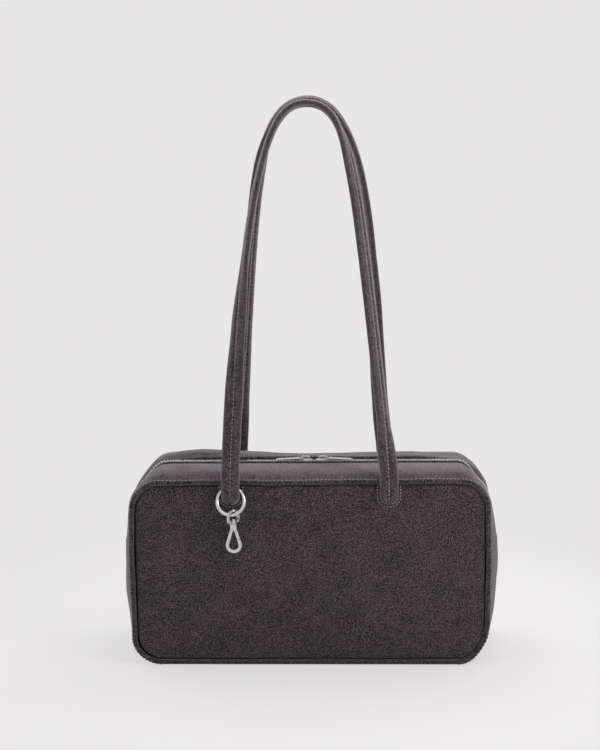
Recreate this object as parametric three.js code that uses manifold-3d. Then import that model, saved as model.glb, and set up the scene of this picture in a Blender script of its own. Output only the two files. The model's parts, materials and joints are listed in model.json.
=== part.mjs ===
// A zipped bowler bag in charcoal cloth: two crowned panels, a gusset split along the top by a two-way
// metal zip, two long shoulder handles, and a ring with a swivel snap hook on the front left handle.
// Millimetres. +X is right, +Y goes to the back and +Z is up, from the floor under the body's centre.
import * as THREE from "three";
import { mergeVertices } from "three/addons/utils/BufferGeometryUtils.js";
import Module from "manifold-3d";

const wasm = await Module();
wasm.setup();

// Body
const BODY_WIDTH = 316; // over the welts at the two sides
const BODY_HEIGHT = 170; // floor to the top of the welts
const BODY_DEPTH = 100; // over the front and back welts
const CORNER_RADIUS = 26;
const SIDE_CROWN = 12; // how far the sides bulge past their seams, halfway up
const SIDE_CROWN_POWER = 1.5; // how that bulge fades towards the corners
const TOP_CROWN = 7;
const TOP_CROWN_POWER = 6; // how quickly the top's bulge fades round the corners
const PANEL_CROWN = 2.5;
const PANEL_CROWN_POWER = 3; // a higher power keeps the panel flat for longer towards its rim
const SEAM_DROP = 1; // how far the cloth lies below the welt beside a seam
const CLOTH = 1.4;
const LINING = 0.5;
const WELT_DIAMETER = 4.2;
const BINDING_WIDTH = 6;
const BINDING_THICKNESS = 1.6;
const BOARD_THICKNESS = 2.5;
const BOARD_MARGIN = 2;
const BOARD_CORNER = 8;
const GAP = 0.3; // clearance between pieces that are sewn or laid together

// Zip
const ZIP_SIDE_LENGTH = 32; // how far the zip runs down each side, below the round corner
const STRIP_CLEARANCE = 0.6; // between a slider and the folded edge of a top strip
const TAPE_WIDTH = 14;
const TAPE_THICKNESS = 0.7;
const CHAIN_WIDTH = 6; // over both rows of teeth
const CHAIN_HEIGHT = 2.4;
const CHAIN_BEAD = 0.9; // the solid edge that carries a row of teeth
const CHAIN_LANE = 1.2; // free lane between the rows, where the post of a slider runs
const TOOTH_PITCH = 2.6;
const STOP_LENGTH = 3;
const SLIDER_LENGTH = 12.5;
const SLIDER_NOSE_WALL = 1.1; // flange beside the chain, at the wide and at the narrow end
const SLIDER_TAIL_WALL = 0.4;
const SLIDER_SHOULDER = 3; // rounding of the nose and of the tail
const SLIDER_HEEL = 1;
const SLIDER_PLATE = 1;
const SLIDER_POST = 0.6;
const SLIDER_POST_LENGTH = 3;
const SLIDER_REST_GAP = 3.5; // between the noses of the two sliders when the zip is shut
const ZIP_MEET_X = 3; // the sliders meet a little to the right of the middle
const BRIDGE_LENGTH = 8.4;
const BRIDGE_BAR = 1.2;
const BRIDGE_WIDTH = 2.4;
const BRIDGE_CHAMFER = 1.2;
const PULL_LENGTH = 25;
const PULL_WIDTH = 5.6;
const PULL_NECK = 4.2;
const PULL_THICKNESS = 1.2;
const PULL_PLAY = 0.1; // room for the pull's square end bar to turn
const PULL_SHOULDER = 1.5; // metal beyond the eye, before the neck starts
const PULL_TAPER = 3;
const PULL_CORNER = 1;
const PULL_DROOP = THREE.MathUtils.degToRad(3); // its tip hangs lower than its pivot

// Handles
const HANDLE_SPACING = 138; // between the two ends of one handle
const STRAP_WIDTH = 16;
const STRAP_THICKNESS = 6;
const STRAP_END_DROP = 21.5; // from the top seam down to the tip of a sewn end
const STRAP_END_FLAT = 2; // straight bit at the tip, between its round corners
const STRAP_SEWN_LENGTH = 8; // how much of an end lies flat on the panel
const HINGE_RISE = 5; // where a handle starts to bend, above the top seam
const HINGE_STANDOFF = 5.5; // how far in front of the welt that bend lies
const HANDLE_RISE = 322.7; // from the top seam to the middle of the front strap at the top of its arch
const BACK_RISE = 4; // how much higher the back handle stands
// Each leg of an arch: the share by which it draws in, the share of the rise over which it stays straight,
// and the breadth of the arch's top as a share of half the spacing.
const ARCH_LEGS = {
  front: { left: [0.21, 1, 0.29], right: [0.4, 0.77, 0.59] },
  back: { left: [0.29, 0.74, 0.72], right: [0.235, 0.305, 1] },
};
// Degrees by which each leg has turned from facing front towards facing outwards, at heights above the seam.
const TWIST_HEIGHTS = [5, 60, 130, 200, 265, 318];
const LEG_TWISTS = {
  front: { left: [0, 0, 41, 76, 80, 90], right: [0, 55, 55, 55, 58, 90] },
  back: { left: [0, 41, 54, 55, 55, 90], right: [0, 27, 40, 66, 73, 90] },
};
const PATCH_WIDTH = 26;
const PATCH_HEIGHT = 20;
const PATCH_THICKNESS = 1.2;

// Ring and swivel snap hook
const RING_SPREAD = 4; // how much wider the ring is inside than the strap
const RING_WIRE = 3.5;
const RING_PLAY = 1.1; // room for the ring to swing out behind the strap
const RING_TOP_DROP = 7; // from the top seam to the middle of the wire behind the strap
const HOOK_SHIFT = 2.4; // the hook hangs a little to the right of the ring's lowest point
const EYE_PLAY = 1.5; // free height of the eye over the ring's wire
const EYE_WIDTH = 14;
const EYE_WIRE = 1.75;
const EYE_OPENING = 8.5;
const EYE_BASE = 2.4;
const EYE_DEPTH = 2;
const EYE_CORNER = 2;
const EYE_FLANK = 4; // height over which the eye's lower corners round off
const EYE_FILLET = 1.5;
const EYE_BOSS_WALL = 0.8;
const EYE_TURN = THREE.MathUtils.degToRad(50); // the eye hangs obliquely through the ring
const POST_RADIUS = 1.1;
const RIVET_LIP = 0.4;
const RIVET_TAPER = 0.6;
const RIVET_HEIGHT = 1.1;
const HOOK_LENGTH = 26.2;
const HOOK_RADIUS = 7;
const HOOK_BAND = 2.8;
const HOOK_DEPTH = 2.6;
const COLLAR_WIDTH = 5.4;
const COLLAR_HEIGHT = 5.2;
const CHEEK = 0.8;
const CHEEK_INSET = 0.4;
const PIN_COVER = 0.8; // metal of the cheeks below the pin
const PIN_DROP = 0.4; // from the foot of the collar to the pin
const PIN_FIT = 0.1;
const KNUCKLE_RADIUS = 1.05;
const GATE_DROP = 9.8; // from the foot of the collar to the tip of the gate
const GATE_SLOPE = 0.35;
const GATE_DEPTH = 1.7;
const GATE_TONGUE = 1;
const GATE_PIN_RADIUS = 0.55;
const GATE_PIN_CLEARANCE = 0.2;
const GATE_INSET = 0.3; // the gate starts this far right of the middle
const LOOP_TOP_WIDTH = 1.2; // of the hook's opening, just below the collar
const SPRING_WIRE = 0.3;
const SPRING_PITCH = 0.7;
const SPRING_TURNS = 1.5;

// Finishes
const cloth = new THREE.MeshStandardMaterial({ color: 0x4a4448, roughness: 0.95, metalness: 0 });
const liningCloth = new THREE.MeshStandardMaterial({ color: 0x2f2c2e, roughness: 0.8, metalness: 0 });
const tapeCloth = new THREE.MeshStandardMaterial({ color: 0x262325, roughness: 0.85, metalness: 0 });
const nickel = new THREE.MeshStandardMaterial({ color: 0xc9c6c6, roughness: 0.28, metalness: 1 });
const board = new THREE.MeshStandardMaterial({ color: 0x6d6259, roughness: 0.9, metalness: 0 });

// Mesh builders

// Closed surface from a list of corner triples, with its faces turned outwards.
function surface(triangles) {
  const kept = triangles.filter(([a, b, c]) => !a.equals(b) && !b.equals(c) && !c.equals(a));
  const volume = kept.reduce((sum, [a, b, c]) => sum + a.dot(new THREE.Vector3().crossVectors(b, c)), 0);
  const corners = volume < 0 ? kept.map(([a, b, c]) => [a, c, b]) : kept;
  return new THREE.BufferGeometry().setFromPoints(corners.flat());
}

function quad(list, a, b, c, d) {
  list.push([a, b, c], [a, c, d]);
}

// Layer of material between two grids of points. Rows may close on themselves, and so may columns.
function slab(outer, inner, { closedRows = false, closedColumns = false } = {}) {
  const list = [];
  const rows = outer.length;
  const columns = outer[0].length;
  const lastRow = closedRows ? rows : rows - 1;
  const lastColumn = closedColumns ? columns : columns - 1;
  for (let i = 0; i < lastRow; i++) {
    const k = (i + 1) % rows;
    for (let j = 0; j < lastColumn; j++) {
      const l = (j + 1) % columns;
      quad(list, outer[i][j], outer[k][j], outer[k][l], outer[i][l]);
      quad(list, inner[i][j], inner[i][l], inner[k][l], inner[k][j]);
    }
    if (!closedColumns) {
      const end = columns - 1;
      quad(list, outer[k][0], outer[i][0], inner[i][0], inner[k][0]);
      quad(list, outer[i][end], outer[k][end], inner[k][end], inner[i][end]);
    }
  }
  if (!closedRows) {
    const end = rows - 1;
    for (let j = 0; j < lastColumn; j++) {
      const l = (j + 1) % columns;
      quad(list, outer[0][j], outer[0][l], inner[0][l], inner[0][j]);
      quad(list, outer[end][l], outer[end][j], inner[end][j], inner[end][l]);
    }
  }
  return surface(list);
}

// Skin over a row of section rings, closed at both ends unless the row closes on itself.
function tube(rings, closed = false) {
  const list = [];
  const sides = rings[0].length;
  const last = closed ? rings.length : rings.length - 1;
  for (let i = 0; i < last; i++) {
    const a = rings[i];
    const b = rings[(i + 1) % rings.length];
    for (let j = 0; j < sides; j++) {
      const k = (j + 1) % sides;
      quad(list, a[j], b[j], b[k], a[k]);
    }
  }
  if (!closed) {
    for (const [ring, turned] of [[rings[0], false], [rings[rings.length - 1], true]]) {
      const middle = ring.reduce((sum, p) => sum.add(p), new THREE.Vector3()).divideScalar(sides);
      for (let j = 0; j < sides; j++) {
        const pair = [ring[j], ring[(j + 1) % sides]];
        list.push([...(turned ? pair.reverse() : pair), middle]);
      }
    }
  }
  return surface(list);
}

function solidOf(geometry) {
  const bare = new THREE.BufferGeometry().setAttribute("position", geometry.getAttribute("position"));
  if (geometry.index) bare.setIndex(geometry.index);
  const merged = mergeVertices(bare, 1e-4);
  return new wasm.Manifold(
    new wasm.Mesh({
      numProp: 3,
      vertProperties: new Float32Array(merged.attributes.position.array),
      triVerts: new Uint32Array(merged.index.array),
    }),
  );
}

function geometryOf(solid) {
  const { vertProperties, triVerts } = solid.getMesh();
  return new THREE.BufferGeometry()
    .setAttribute("position", new THREE.BufferAttribute(new Float32Array(vertProperties), 3))
    .setIndex(new THREE.BufferAttribute(new Uint32Array(triVerts), 1));
}

// Box between two corners.
function boxSolid(low, high) {
  const size = high.map((v, i) => v - low[i]);
  const centre = high.map((v, i) => (v + low[i]) / 2);
  return solidOf(new THREE.BoxGeometry(...size).translate(...centre));
}

// Round bar along Y between two depths.
function pinSolid(radius, x, z, yLow, yHigh, sides = 12) {
  const bar = new THREE.CylinderGeometry(radius, radius, yHigh - yLow, sides);
  return solidOf(bar.translate(x, (yLow + yHigh) / 2, z));
}

// Upright round bar on the Z axis, which may taper from its foot to its top.
function postSolid(footRadius, topRadius, zLow, zHigh, sides = 12) {
  const bar = new THREE.CylinderGeometry(topRadius, footRadius, zHigh - zLow, sides).rotateX(Math.PI / 2);
  return solidOf(bar.translate(0, 0, (zLow + zHigh) / 2));
}

// Plate with a given outline in the XZ plane, centred on y = 0.
function plateSolid(shape, depth, curveSegments = 10) {
  const plate = new THREE.ExtrudeGeometry(shape, { depth, bevelEnabled: false, curveSegments });
  return solidOf(plate.translate(0, 0, -depth / 2).rotateX(Math.PI / 2));
}

function add(parent, name, geometry, material) {
  const mesh = new THREE.Mesh(geometry, material);
  mesh.name = name;
  parent.add(mesh);
  return mesh;
}

const bag = new THREE.Group();
const FRONT = -1;
const BACK = 1;
const SIDES = [["front", FRONT], ["back", BACK]];

// Seam outline of the body, seen from the front and walked clockwise.
// Each stretch gives a point and its outward normal at a length s along it.
const HALF_WIDTH = BODY_WIDTH / 2;
const CORNER_X = HALF_WIDTH - CORNER_RADIUS;
const CORNER_HIGH = BODY_HEIGHT - CORNER_RADIUS;
const CORNER_STEPS = 5;
const SIDE_STEPS = 4;

function straight(x0, z0, x1, z1, steps) {
  const length = Math.hypot(x1 - x0, z1 - z0);
  const [tx, tz] = [(x1 - x0) / length, (z1 - z0) / length];
  return { length, steps, at: (s) => ({ x: x0 + tx * s, z: z0 + tz * s, nx: -tz, nz: tx }) };
}

function corner(x, z, startDegrees) {
  const start = THREE.MathUtils.degToRad(startDegrees);
  return {
    length: (CORNER_RADIUS * Math.PI) / 2,
    steps: CORNER_STEPS,
    at: (s) => {
      const angle = start - s / CORNER_RADIUS;
      const [nx, nz] = [Math.cos(angle), Math.sin(angle)];
      return { x: x + CORNER_RADIUS * nx, z: z + CORNER_RADIUS * nz, nx, nz };
    },
  };
}

const leftSide = (low, high) => straight(-HALF_WIDTH, low, -HALF_WIDTH, high, SIDE_STEPS);
const rightSide = (high, low) => straight(HALF_WIDTH, high, HALF_WIDTH, low, SIDE_STEPS);
const topEdge = straight(-CORNER_X, BODY_HEIGHT, CORNER_X, BODY_HEIGHT, 4);
const bottomEdge = straight(CORNER_X, 0, -CORNER_X, 0, 4);
const topLeft = corner(-CORNER_X, CORNER_HIGH, 180);
const topRight = corner(CORNER_X, CORNER_HIGH, 90);
const bottomRight = corner(CORNER_X, CORNER_RADIUS, 0);
const bottomLeft = corner(-CORNER_X, CORNER_RADIUS, -90);

const ZIP_END_HEIGHT = CORNER_HIGH - ZIP_SIDE_LENGTH;
const TOP_RUN_END = ZIP_END_HEIGHT + GAP / 2;
const BASE_RUN_END = ZIP_END_HEIGHT - GAP / 2;
const topRun = [
  leftSide(TOP_RUN_END, CORNER_HIGH),
  topLeft,
  topEdge,
  topRight,
  rightSide(CORNER_HIGH, TOP_RUN_END),
];
const baseRun = [
  rightSide(BASE_RUN_END, CORNER_RADIUS),
  bottomRight,
  bottomEdge,
  bottomLeft,
  leftSide(CORNER_RADIUS, BASE_RUN_END),
];
const wholeRun = [
  leftSide(CORNER_RADIUS, CORNER_HIGH),
  topLeft,
  topEdge,
  topRight,
  rightSide(CORNER_HIGH, CORNER_RADIUS),
  bottomRight,
  bottomEdge,
  bottomLeft,
];

function stationsOf(run, closed = false) {
  const list = run.flatMap(({ length, steps, at }) =>
    Array.from({ length: steps }, (_, i) => at((length * i) / steps)),
  );
  const last = run[run.length - 1];
  return closed ? list : [...list, last.at(last.length)];
}

function stationAt(run, s) {
  let left = s;
  for (const stretch of run) {
    if (left <= stretch.length) return stretch.at(left);
    left -= stretch.length;
  }
  const last = run[run.length - 1];
  return last.at(last.length);
}

// Point at a distance n outside the seam outline.
function place({ x, z, nx, nz }, n, y) {
  return new THREE.Vector3(x + nx * n, y, z + nz * n);
}

// Gusset: the cloth round the sides, base and top. It bulges between the seams and is flat on the floor.
const GUSSET_HALF = BODY_DEPTH / 2 - WELT_DIAMETER - GAP;

function gussetFace({ z, nx, nz }, y) {
  const halfway = Math.max(0, Math.sin((Math.PI * z) / BODY_HEIGHT)) ** SIDE_CROWN_POWER;
  const side = SIDE_CROWN * nx ** 2 * halfway;
  const top = TOP_CROWN * Math.max(nz, 0) ** TOP_CROWN_POWER;
  const down = Math.max(-nz, 0) ** 2;
  return (side + top) * (1 - (y / GUSSET_HALF) ** 2) - SEAM_DROP * (1 - down);
}

// A layer of the gusset between two depths below its face, from one y to another.
function gussetLayer(run, yFrom, yTo, ySteps, depthOut, depthIn) {
  const grid = (depth) =>
    stationsOf(run).map((station) =>
      Array.from({ length: ySteps + 1 }, (_, j) => {
        const y = yFrom + ((yTo - yFrom) * j) / ySteps;
        return place(station, gussetFace(station, y) - depth, y);
      }),
    );
  return slab(grid(depthOut), grid(depthIn));
}

const CHAIN_HALF = CHAIN_WIDTH / 2;
const CHANNEL_HALF = CHAIN_HALF + GAP; // the slider's channel, and the inner edge of a tape
const SLIDER_HALF_NOSE = CHANNEL_HALF + SLIDER_NOSE_WALL;
const SLIDER_HALF_TAIL = CHANNEL_HALF + SLIDER_TAIL_WALL;
const STRIP_EDGE = SLIDER_HALF_NOSE + STRIP_CLEARANCE;
const LINING_DEPTH = CLOTH + GAP;
const LINED_DEPTH = LINING_DEPTH + LINING;
const GUSSET_STEPS = 4;
const STRIP_STEPS = 3;
const TAPE_STEPS = 2;
add(bag, "base_gusset", gussetLayer(baseRun, -GUSSET_HALF, GUSSET_HALF, GUSSET_STEPS, 0, CLOTH), cloth);
add(
  bag,
  "base_lining",
  gussetLayer(baseRun, -GUSSET_HALF, GUSSET_HALF, GUSSET_STEPS, LINING_DEPTH, LINED_DEPTH),
  liningCloth,
);
for (const [side, facing] of SIDES) {
  const edges = [facing * GUSSET_HALF, facing * STRIP_EDGE];
  add(bag, `top_strip_${side}`, gussetLayer(topRun, ...edges, STRIP_STEPS, 0, CLOTH), cloth);
}

// Panels: the cloth, its lining and a welt round the rim, where the seam allowance makes a raised edge.
const PANEL_RIM = WELT_DIAMETER + GAP;
const PANEL_HALF_WIDTH = HALF_WIDTH - PANEL_RIM;
const PANEL_HALF_HEIGHT = BODY_HEIGHT / 2 - PANEL_RIM;
const PANEL_RINGS = [0, 0.55, 0.85, 1];

// Distance of a panel's outer face from the middle plane of the bag.
function panelFace(x, z) {
  const across = Math.min(1, Math.abs(x) / PANEL_HALF_WIDTH) ** PANEL_CROWN_POWER;
  const up = Math.min(1, Math.abs(z - BODY_HEIGHT / 2) / PANEL_HALF_HEIGHT) ** PANEL_CROWN_POWER;
  return BODY_DEPTH / 2 - SEAM_DROP + PANEL_CROWN * (1 - across) * (1 - up);
}

function panelLayer(facing, depthOut, depthIn) {
  const rim = stationsOf(wholeRun, true).map((station) => place(station, -PANEL_RIM, 0));
  const centre = new THREE.Vector3(0, 0, BODY_HEIGHT / 2);
  const grid = (depth) =>
    PANEL_RINGS.map((share) =>
      rim.map((point) => {
        const p = centre.clone().lerp(point, share);
        return p.setY(facing * (panelFace(p.x, p.z) - depth));
      }),
    );
  return slab(grid(depthOut), grid(depthIn), { closedColumns: true });
}

function weltLoop(facing) {
  const radius = WELT_DIAMETER / 2;
  const sides = 6;
  const rings = stationsOf(wholeRun, true).map((station) =>
    Array.from({ length: sides }, (_, j) => {
      const angle = (2 * Math.PI * j) / sides;
      const n = -radius + radius * Math.sin(angle);
      return place(station, n, facing * (BODY_DEPTH / 2 - radius + radius * Math.cos(angle)));
    }),
  );
  return tube(rings, true);
}

// Tape that binds the raw seam edges inside the body, standing inwards from the seam.
const BINDING_FACE = BODY_DEPTH / 2 - SEAM_DROP - LINED_DEPTH - GAP;

function bindingLoop(facing) {
  const layer = (y) =>
    stationsOf(wholeRun, true).map((station) =>
      [PANEL_RIM + GAP, PANEL_RIM + GAP + BINDING_WIDTH].map((n) => place(station, -n, facing * y)),
    );
  return slab(layer(BINDING_FACE), layer(BINDING_FACE - BINDING_THICKNESS), { closedRows: true });
}

for (const [side, facing] of SIDES) {
  add(bag, `${side}_panel`, panelLayer(facing, 0, CLOTH), cloth);
  add(bag, `${side}_lining`, panelLayer(facing, LINING_DEPTH, LINED_DEPTH), liningCloth);
  add(bag, `${side}_welt`, weltLoop(facing), cloth);
  add(bag, `${side}_seam_binding`, bindingLoop(facing), liningCloth);
}

// Board that keeps the base flat, loose on the lining.
const BOARD_LENGTH = 2 * (CORNER_X - BOARD_MARGIN);
const BOARD_WIDTH = 2 * (BINDING_FACE - BINDING_THICKNESS - BOARD_MARGIN);

function roundedRectangle(width, height, radius) {
  const [x, y] = [width / 2, height / 2];
  const shape = new THREE.Shape();
  shape.moveTo(-x + radius, -y);
  shape.absarc(x - radius, -y + radius, radius, -Math.PI / 2, 0);
  shape.absarc(x - radius, y - radius, radius, 0, Math.PI / 2);
  shape.absarc(-x + radius, y - radius, radius, Math.PI / 2, Math.PI);
  shape.absarc(-x + radius, -y + radius, radius, Math.PI, 1.5 * Math.PI);
  return shape;
}

const boardPlate = new THREE.ExtrudeGeometry(roundedRectangle(BOARD_LENGTH, BOARD_WIDTH, BOARD_CORNER), {
  depth: BOARD_THICKNESS,
  bevelEnabled: false,
  curveSegments: 3,
});
add(bag, "base_board", boardPlate, board).position.z = LINED_DEPTH + GAP;

// Zip: two tapes under the strips, each with its row of teeth, and a stop at each end.
const TAPE_DEPTH = CLOTH + GAP;
const CHAIN_DEPTH = TAPE_DEPTH + TAPE_THICKNESS / 2; // from the gusset's face to the middle of the chain
const ZIP_LENGTH = topRun.reduce((sum, stretch) => sum + stretch.length, 0);
const TEETH_START = STOP_LENGTH + 2 * GAP;

// Point on the chain: s along the zip, y across it and n above its middle.
function chainPoint(s, y, n) {
  const station = stationAt(topRun, s);
  return place(station, gussetFace(station, 0) - CHAIN_DEPTH + n, y);
}

function toothRow(facing) {
  const count = Math.floor((ZIP_LENGTH - 2 * TEETH_START) / TOOTH_PITCH) - 1;
  const shift = (facing * TOOTH_PITCH) / 4; // one row's teeth face the other row's gaps
  const start = (ZIP_LENGTH - count * TOOTH_PITCH) / 2 + shift;
  const line = (length, from, y, n) =>
    Array.from({ length }, (_, i) => chainPoint(start + (i + from) * TOOTH_PITCH, facing * y, n));
  const face = (n) => ({
    heels: line(count + 1, 0, CHAIN_HALF, n),
    roots: line(count + 1, 0, CHAIN_HALF - CHAIN_BEAD, n),
    tips: line(count, 0.5, CHAIN_LANE / 2, n),
  });
  const [top, bottom] = [face(CHAIN_HEIGHT / 2), face(-CHAIN_HEIGHT / 2)];
  const list = [];
  for (let i = 0; i < count; i++) {
    const cell = ({ heels, roots, tips }) => [
      [heels[i], roots[i], tips[i]],
      [heels[i], tips[i], heels[i + 1]],
      [heels[i + 1], tips[i], roots[i + 1]],
    ];
    list.push(...cell(top), ...cell(bottom).map(([a, b, c]) => [a, c, b]));
  }
  const edge = ({ heels, roots, tips }) => [
    ...tips.flatMap((tip, i) => [roots[i], tip]),
    roots[count],
    ...heels.toReversed(),
  ];
  const [high, low] = [edge(top), edge(bottom)];
  high.forEach((p, i) => {
    const j = (i + 1) % high.length;
    quad(list, high[j], p, low[i], low[j]);
  });
  return surface(list);
}

for (const [side, facing] of SIDES) {
  const edges = [facing * (CHANNEL_HALF + TAPE_WIDTH), facing * CHANNEL_HALF];
  const depths = [TAPE_DEPTH, TAPE_DEPTH + TAPE_THICKNESS];
  add(bag, `zip_tape_${side}`, gussetLayer(topRun, ...edges, TAPE_STEPS, ...depths), tapeCloth);
  add(bag, `zip_teeth_${side}`, toothRow(facing), nickel);
}

for (const [side, s, sign] of [["left", 0, 1], ["right", ZIP_LENGTH, -1]]) {
  const stop = new THREE.BoxGeometry(CHAIN_HEIGHT, CHAIN_WIDTH, STOP_LENGTH);
  const mesh = add(bag, `zip_stop_${side}`, stop, nickel);
  mesh.position.copy(chainPoint(s + sign * (STOP_LENGTH / 2 + GAP), 0, 0));
}

// Slider: two plates round the chain, held together by a post at the nose, with a bridge for the pull.
// Modelled with its nose towards +X and the middle of the chain at its origin.
const CHANNEL_HALF_HEIGHT = CHAIN_HEIGHT / 2 + GAP;
const SLIDER_HALF_HEIGHT = CHANNEL_HALF_HEIGHT + SLIDER_PLATE;
const BAR_SWING = (PULL_THICKNESS * Math.SQRT2) / 2 + PULL_PLAY; // reach of the pull's end bar as it turns
const BRIDGE_WINDOW = 2 * BAR_SWING;
const PIVOT_HEIGHT = SLIDER_HALF_HEIGHT + BAR_SWING;
const WINDOW_HALF = BRIDGE_LENGTH / 2 - BRIDGE_BAR;
const PIVOT_X = BAR_SWING - WINDOW_HALF;

function sliderPlan() {
  const [nose, tail, half] = [SLIDER_HALF_NOSE, SLIDER_HALF_TAIL, SLIDER_LENGTH / 2];
  const plan = new THREE.Shape();
  plan.moveTo(-half, SLIDER_HEEL - tail);
  plan.quadraticCurveTo(-half, -tail, SLIDER_HEEL - half, -tail);
  plan.lineTo(half - SLIDER_SHOULDER, -nose);
  plan.quadraticCurveTo(half, -nose, half, -nose / 2);
  plan.lineTo(half, nose / 2);
  plan.quadraticCurveTo(half, nose, half - SLIDER_SHOULDER, nose);
  plan.lineTo(SLIDER_HEEL - half, tail);
  plan.quadraticCurveTo(-half, tail, -half, tail - SLIDER_HEEL);
  return plan;
}

function bridgeProfile() {
  const [half, top] = [BRIDGE_LENGTH / 2, SLIDER_HALF_HEIGHT + BRIDGE_WINDOW + BRIDGE_BAR];
  const [window, ceiling] = [WINDOW_HALF, SLIDER_HALF_HEIGHT + BRIDGE_WINDOW];
  const foot = SLIDER_HALF_HEIGHT - SLIDER_PLATE / 2;
  return new THREE.Shape(
    [
      [-half, foot],
      [-window, foot],
      [-window, ceiling],
      [window, ceiling],
      [window, foot],
      [half, foot],
      [half, top - BRIDGE_CHAMFER],
      [half - BRIDGE_CHAMFER, top],
      [-half + BRIDGE_CHAMFER, top],
      [-half, top - BRIDGE_CHAMFER],
    ].map(([x, z]) => new THREE.Vector2(x, z)),
  );
}

function sliderGeometry() {
  const plan = new THREE.ExtrudeGeometry(sliderPlan(), {
    depth: 2 * SLIDER_HALF_HEIGHT,
    bevelEnabled: false,
    curveSegments: 3,
  });
  const block = solidOf(plan.translate(0, 0, -SLIDER_HALF_HEIGHT));
  const [far, channel, slot] = [SLIDER_LENGTH, CHANNEL_HALF, TAPE_THICKNESS / 2 + GAP];
  const nose = SLIDER_LENGTH / 2 - GAP;
  const post = boxSolid(
    [nose - SLIDER_POST_LENGTH, -SLIDER_POST / 2, -SLIDER_HALF_HEIGHT],
    [nose, SLIDER_POST / 2, SLIDER_HALF_HEIGHT],
  );
  return geometryOf(
    block
      .subtract(boxSolid([-far, -channel, -CHANNEL_HALF_HEIGHT], [far, channel, CHANNEL_HALF_HEIGHT]))
      .subtract(boxSolid([-far, -far, -slot], [far, far, slot]))
      .add(post)
      .add(plateSolid(bridgeProfile(), BRIDGE_WIDTH)),
  );
}

// Pull: a slim tab whose end bar turns in the bridge's window. Modelled from its pivot towards -X.
function pullGeometry() {
  const [wide, neck] = [PULL_WIDTH / 2, PULL_NECK / 2];
  const bar = PULL_THICKNESS / 2;
  // The eye clears the bridge's outer corner all the way round.
  const eyeEnd = -(Math.hypot(BRIDGE_LENGTH / 2 + PIVOT_X, BRIDGE_WINDOW / 2 + BRIDGE_BAR) + GAP);
  const shoulder = eyeEnd - PULL_SHOULDER;
  const tip = bar - PULL_LENGTH;
  const plan = new THREE.Shape();
  plan.moveTo(bar, PULL_CORNER - wide);
  plan.lineTo(bar, wide - PULL_CORNER);
  plan.lineTo(bar - PULL_CORNER, wide);
  plan.lineTo(shoulder, wide);
  plan.lineTo(shoulder - PULL_TAPER, neck);
  plan.lineTo(tip + wide, wide);
  plan.absarc(tip + wide, 0, wide, Math.PI / 2, 1.5 * Math.PI);
  plan.lineTo(shoulder - PULL_TAPER, -neck);
  plan.lineTo(shoulder, -wide);
  plan.lineTo(bar - PULL_CORNER, -wide);
  const half = BRIDGE_WIDTH / 2 + 2 * GAP;
  const eye = [
    [-bar, -half],
    [-bar, half],
    [eyeEnd, half],
    [eyeEnd, -half],
  ];
  plan.holes.push(new THREE.Path(eye.map(([x, y]) => new THREE.Vector2(x, y))));
  const depth = PULL_THICKNESS;
  const tab = new THREE.ExtrudeGeometry(plan, { depth, bevelEnabled: false, curveSegments: 8 });
  return tab.translate(0, 0, -depth / 2);
}

const CHAIN_TOP_HEIGHT = BODY_HEIGHT + gussetFace({ z: BODY_HEIGHT, nx: 0, nz: 1 }, 0) - CHAIN_DEPTH;
for (const [side, sign] of [["left", -1], ["right", 1]]) {
  const slider = new THREE.Group();
  slider.position.set(ZIP_MEET_X + (sign * (SLIDER_LENGTH + SLIDER_REST_GAP)) / 2, 0, CHAIN_TOP_HEIGHT);
  slider.rotation.z = sign > 0 ? Math.PI : 0;
  add(slider, `zip_slider_${side}`, sliderGeometry(), nickel);
  const pull = add(slider, `zip_pull_${side}`, pullGeometry(), nickel);
  pull.position.set(PIVOT_X, 0, PIVOT_HEIGHT);
  pull.rotation.y = -PULL_DROOP;
  bag.add(slider);
}

// Handles: a folded strap with a lens section. Its ends are sewn to a panel, and the loop bends above them.
const STRAP_HALF = STRAP_WIDTH / 2;
const STRAP_HALF_THICKNESS = STRAP_THICKNESS / 2;
const HANDLE_X = HANDLE_SPACING / 2;
const HINGE_Y = BODY_DEPTH / 2 + HINGE_STANDOFF;
const HINGE_HEIGHT = BODY_HEIGHT + HINGE_RISE;
const STRAP_END_HEIGHT = BODY_HEIGHT - STRAP_END_DROP;
const STRAP_END_ROUND = STRAP_HALF - STRAP_END_FLAT / 2;
const APEX_Y = STRAP_HALF + 2 * GAP; // the two handles lean on each other at the top
const SECTION_SIDES = 10;
const LEG_STEPS = 18;
const LEG_CROWDING = 1.5; // a higher power puts the sections closer together at the apex
const KNUCKLE_DEGREES = [-75, -40]; // sections of the round end on which a loop turns

const RING_MIDDLE = (STRAP_WIDTH + RING_SPREAD + RING_WIRE) / 2;
const RING_TOP_HEIGHT = BODY_HEIGHT - RING_TOP_DROP;
const RING_Y = panelFace(HANDLE_X, RING_TOP_HEIGHT) + GAP + RING_WIRE / 2;
const OVER_RING_Y = RING_Y + RING_WIRE / 2 + RING_PLAY + STRAP_HALF_THICKNESS;

// Lens section round a point, with its half-sizes along two directions.
function strapSection(centre, across, out, halfWidth, halfThickness) {
  return Array.from({ length: SECTION_SIDES }, (_, j) => {
    const angle = (2 * Math.PI * j) / SECTION_SIDES;
    return centre
      .clone()
      .addScaledVector(across, halfWidth * Math.cos(angle))
      .addScaledVector(out, halfThickness * Math.sin(angle));
  });
}

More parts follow.
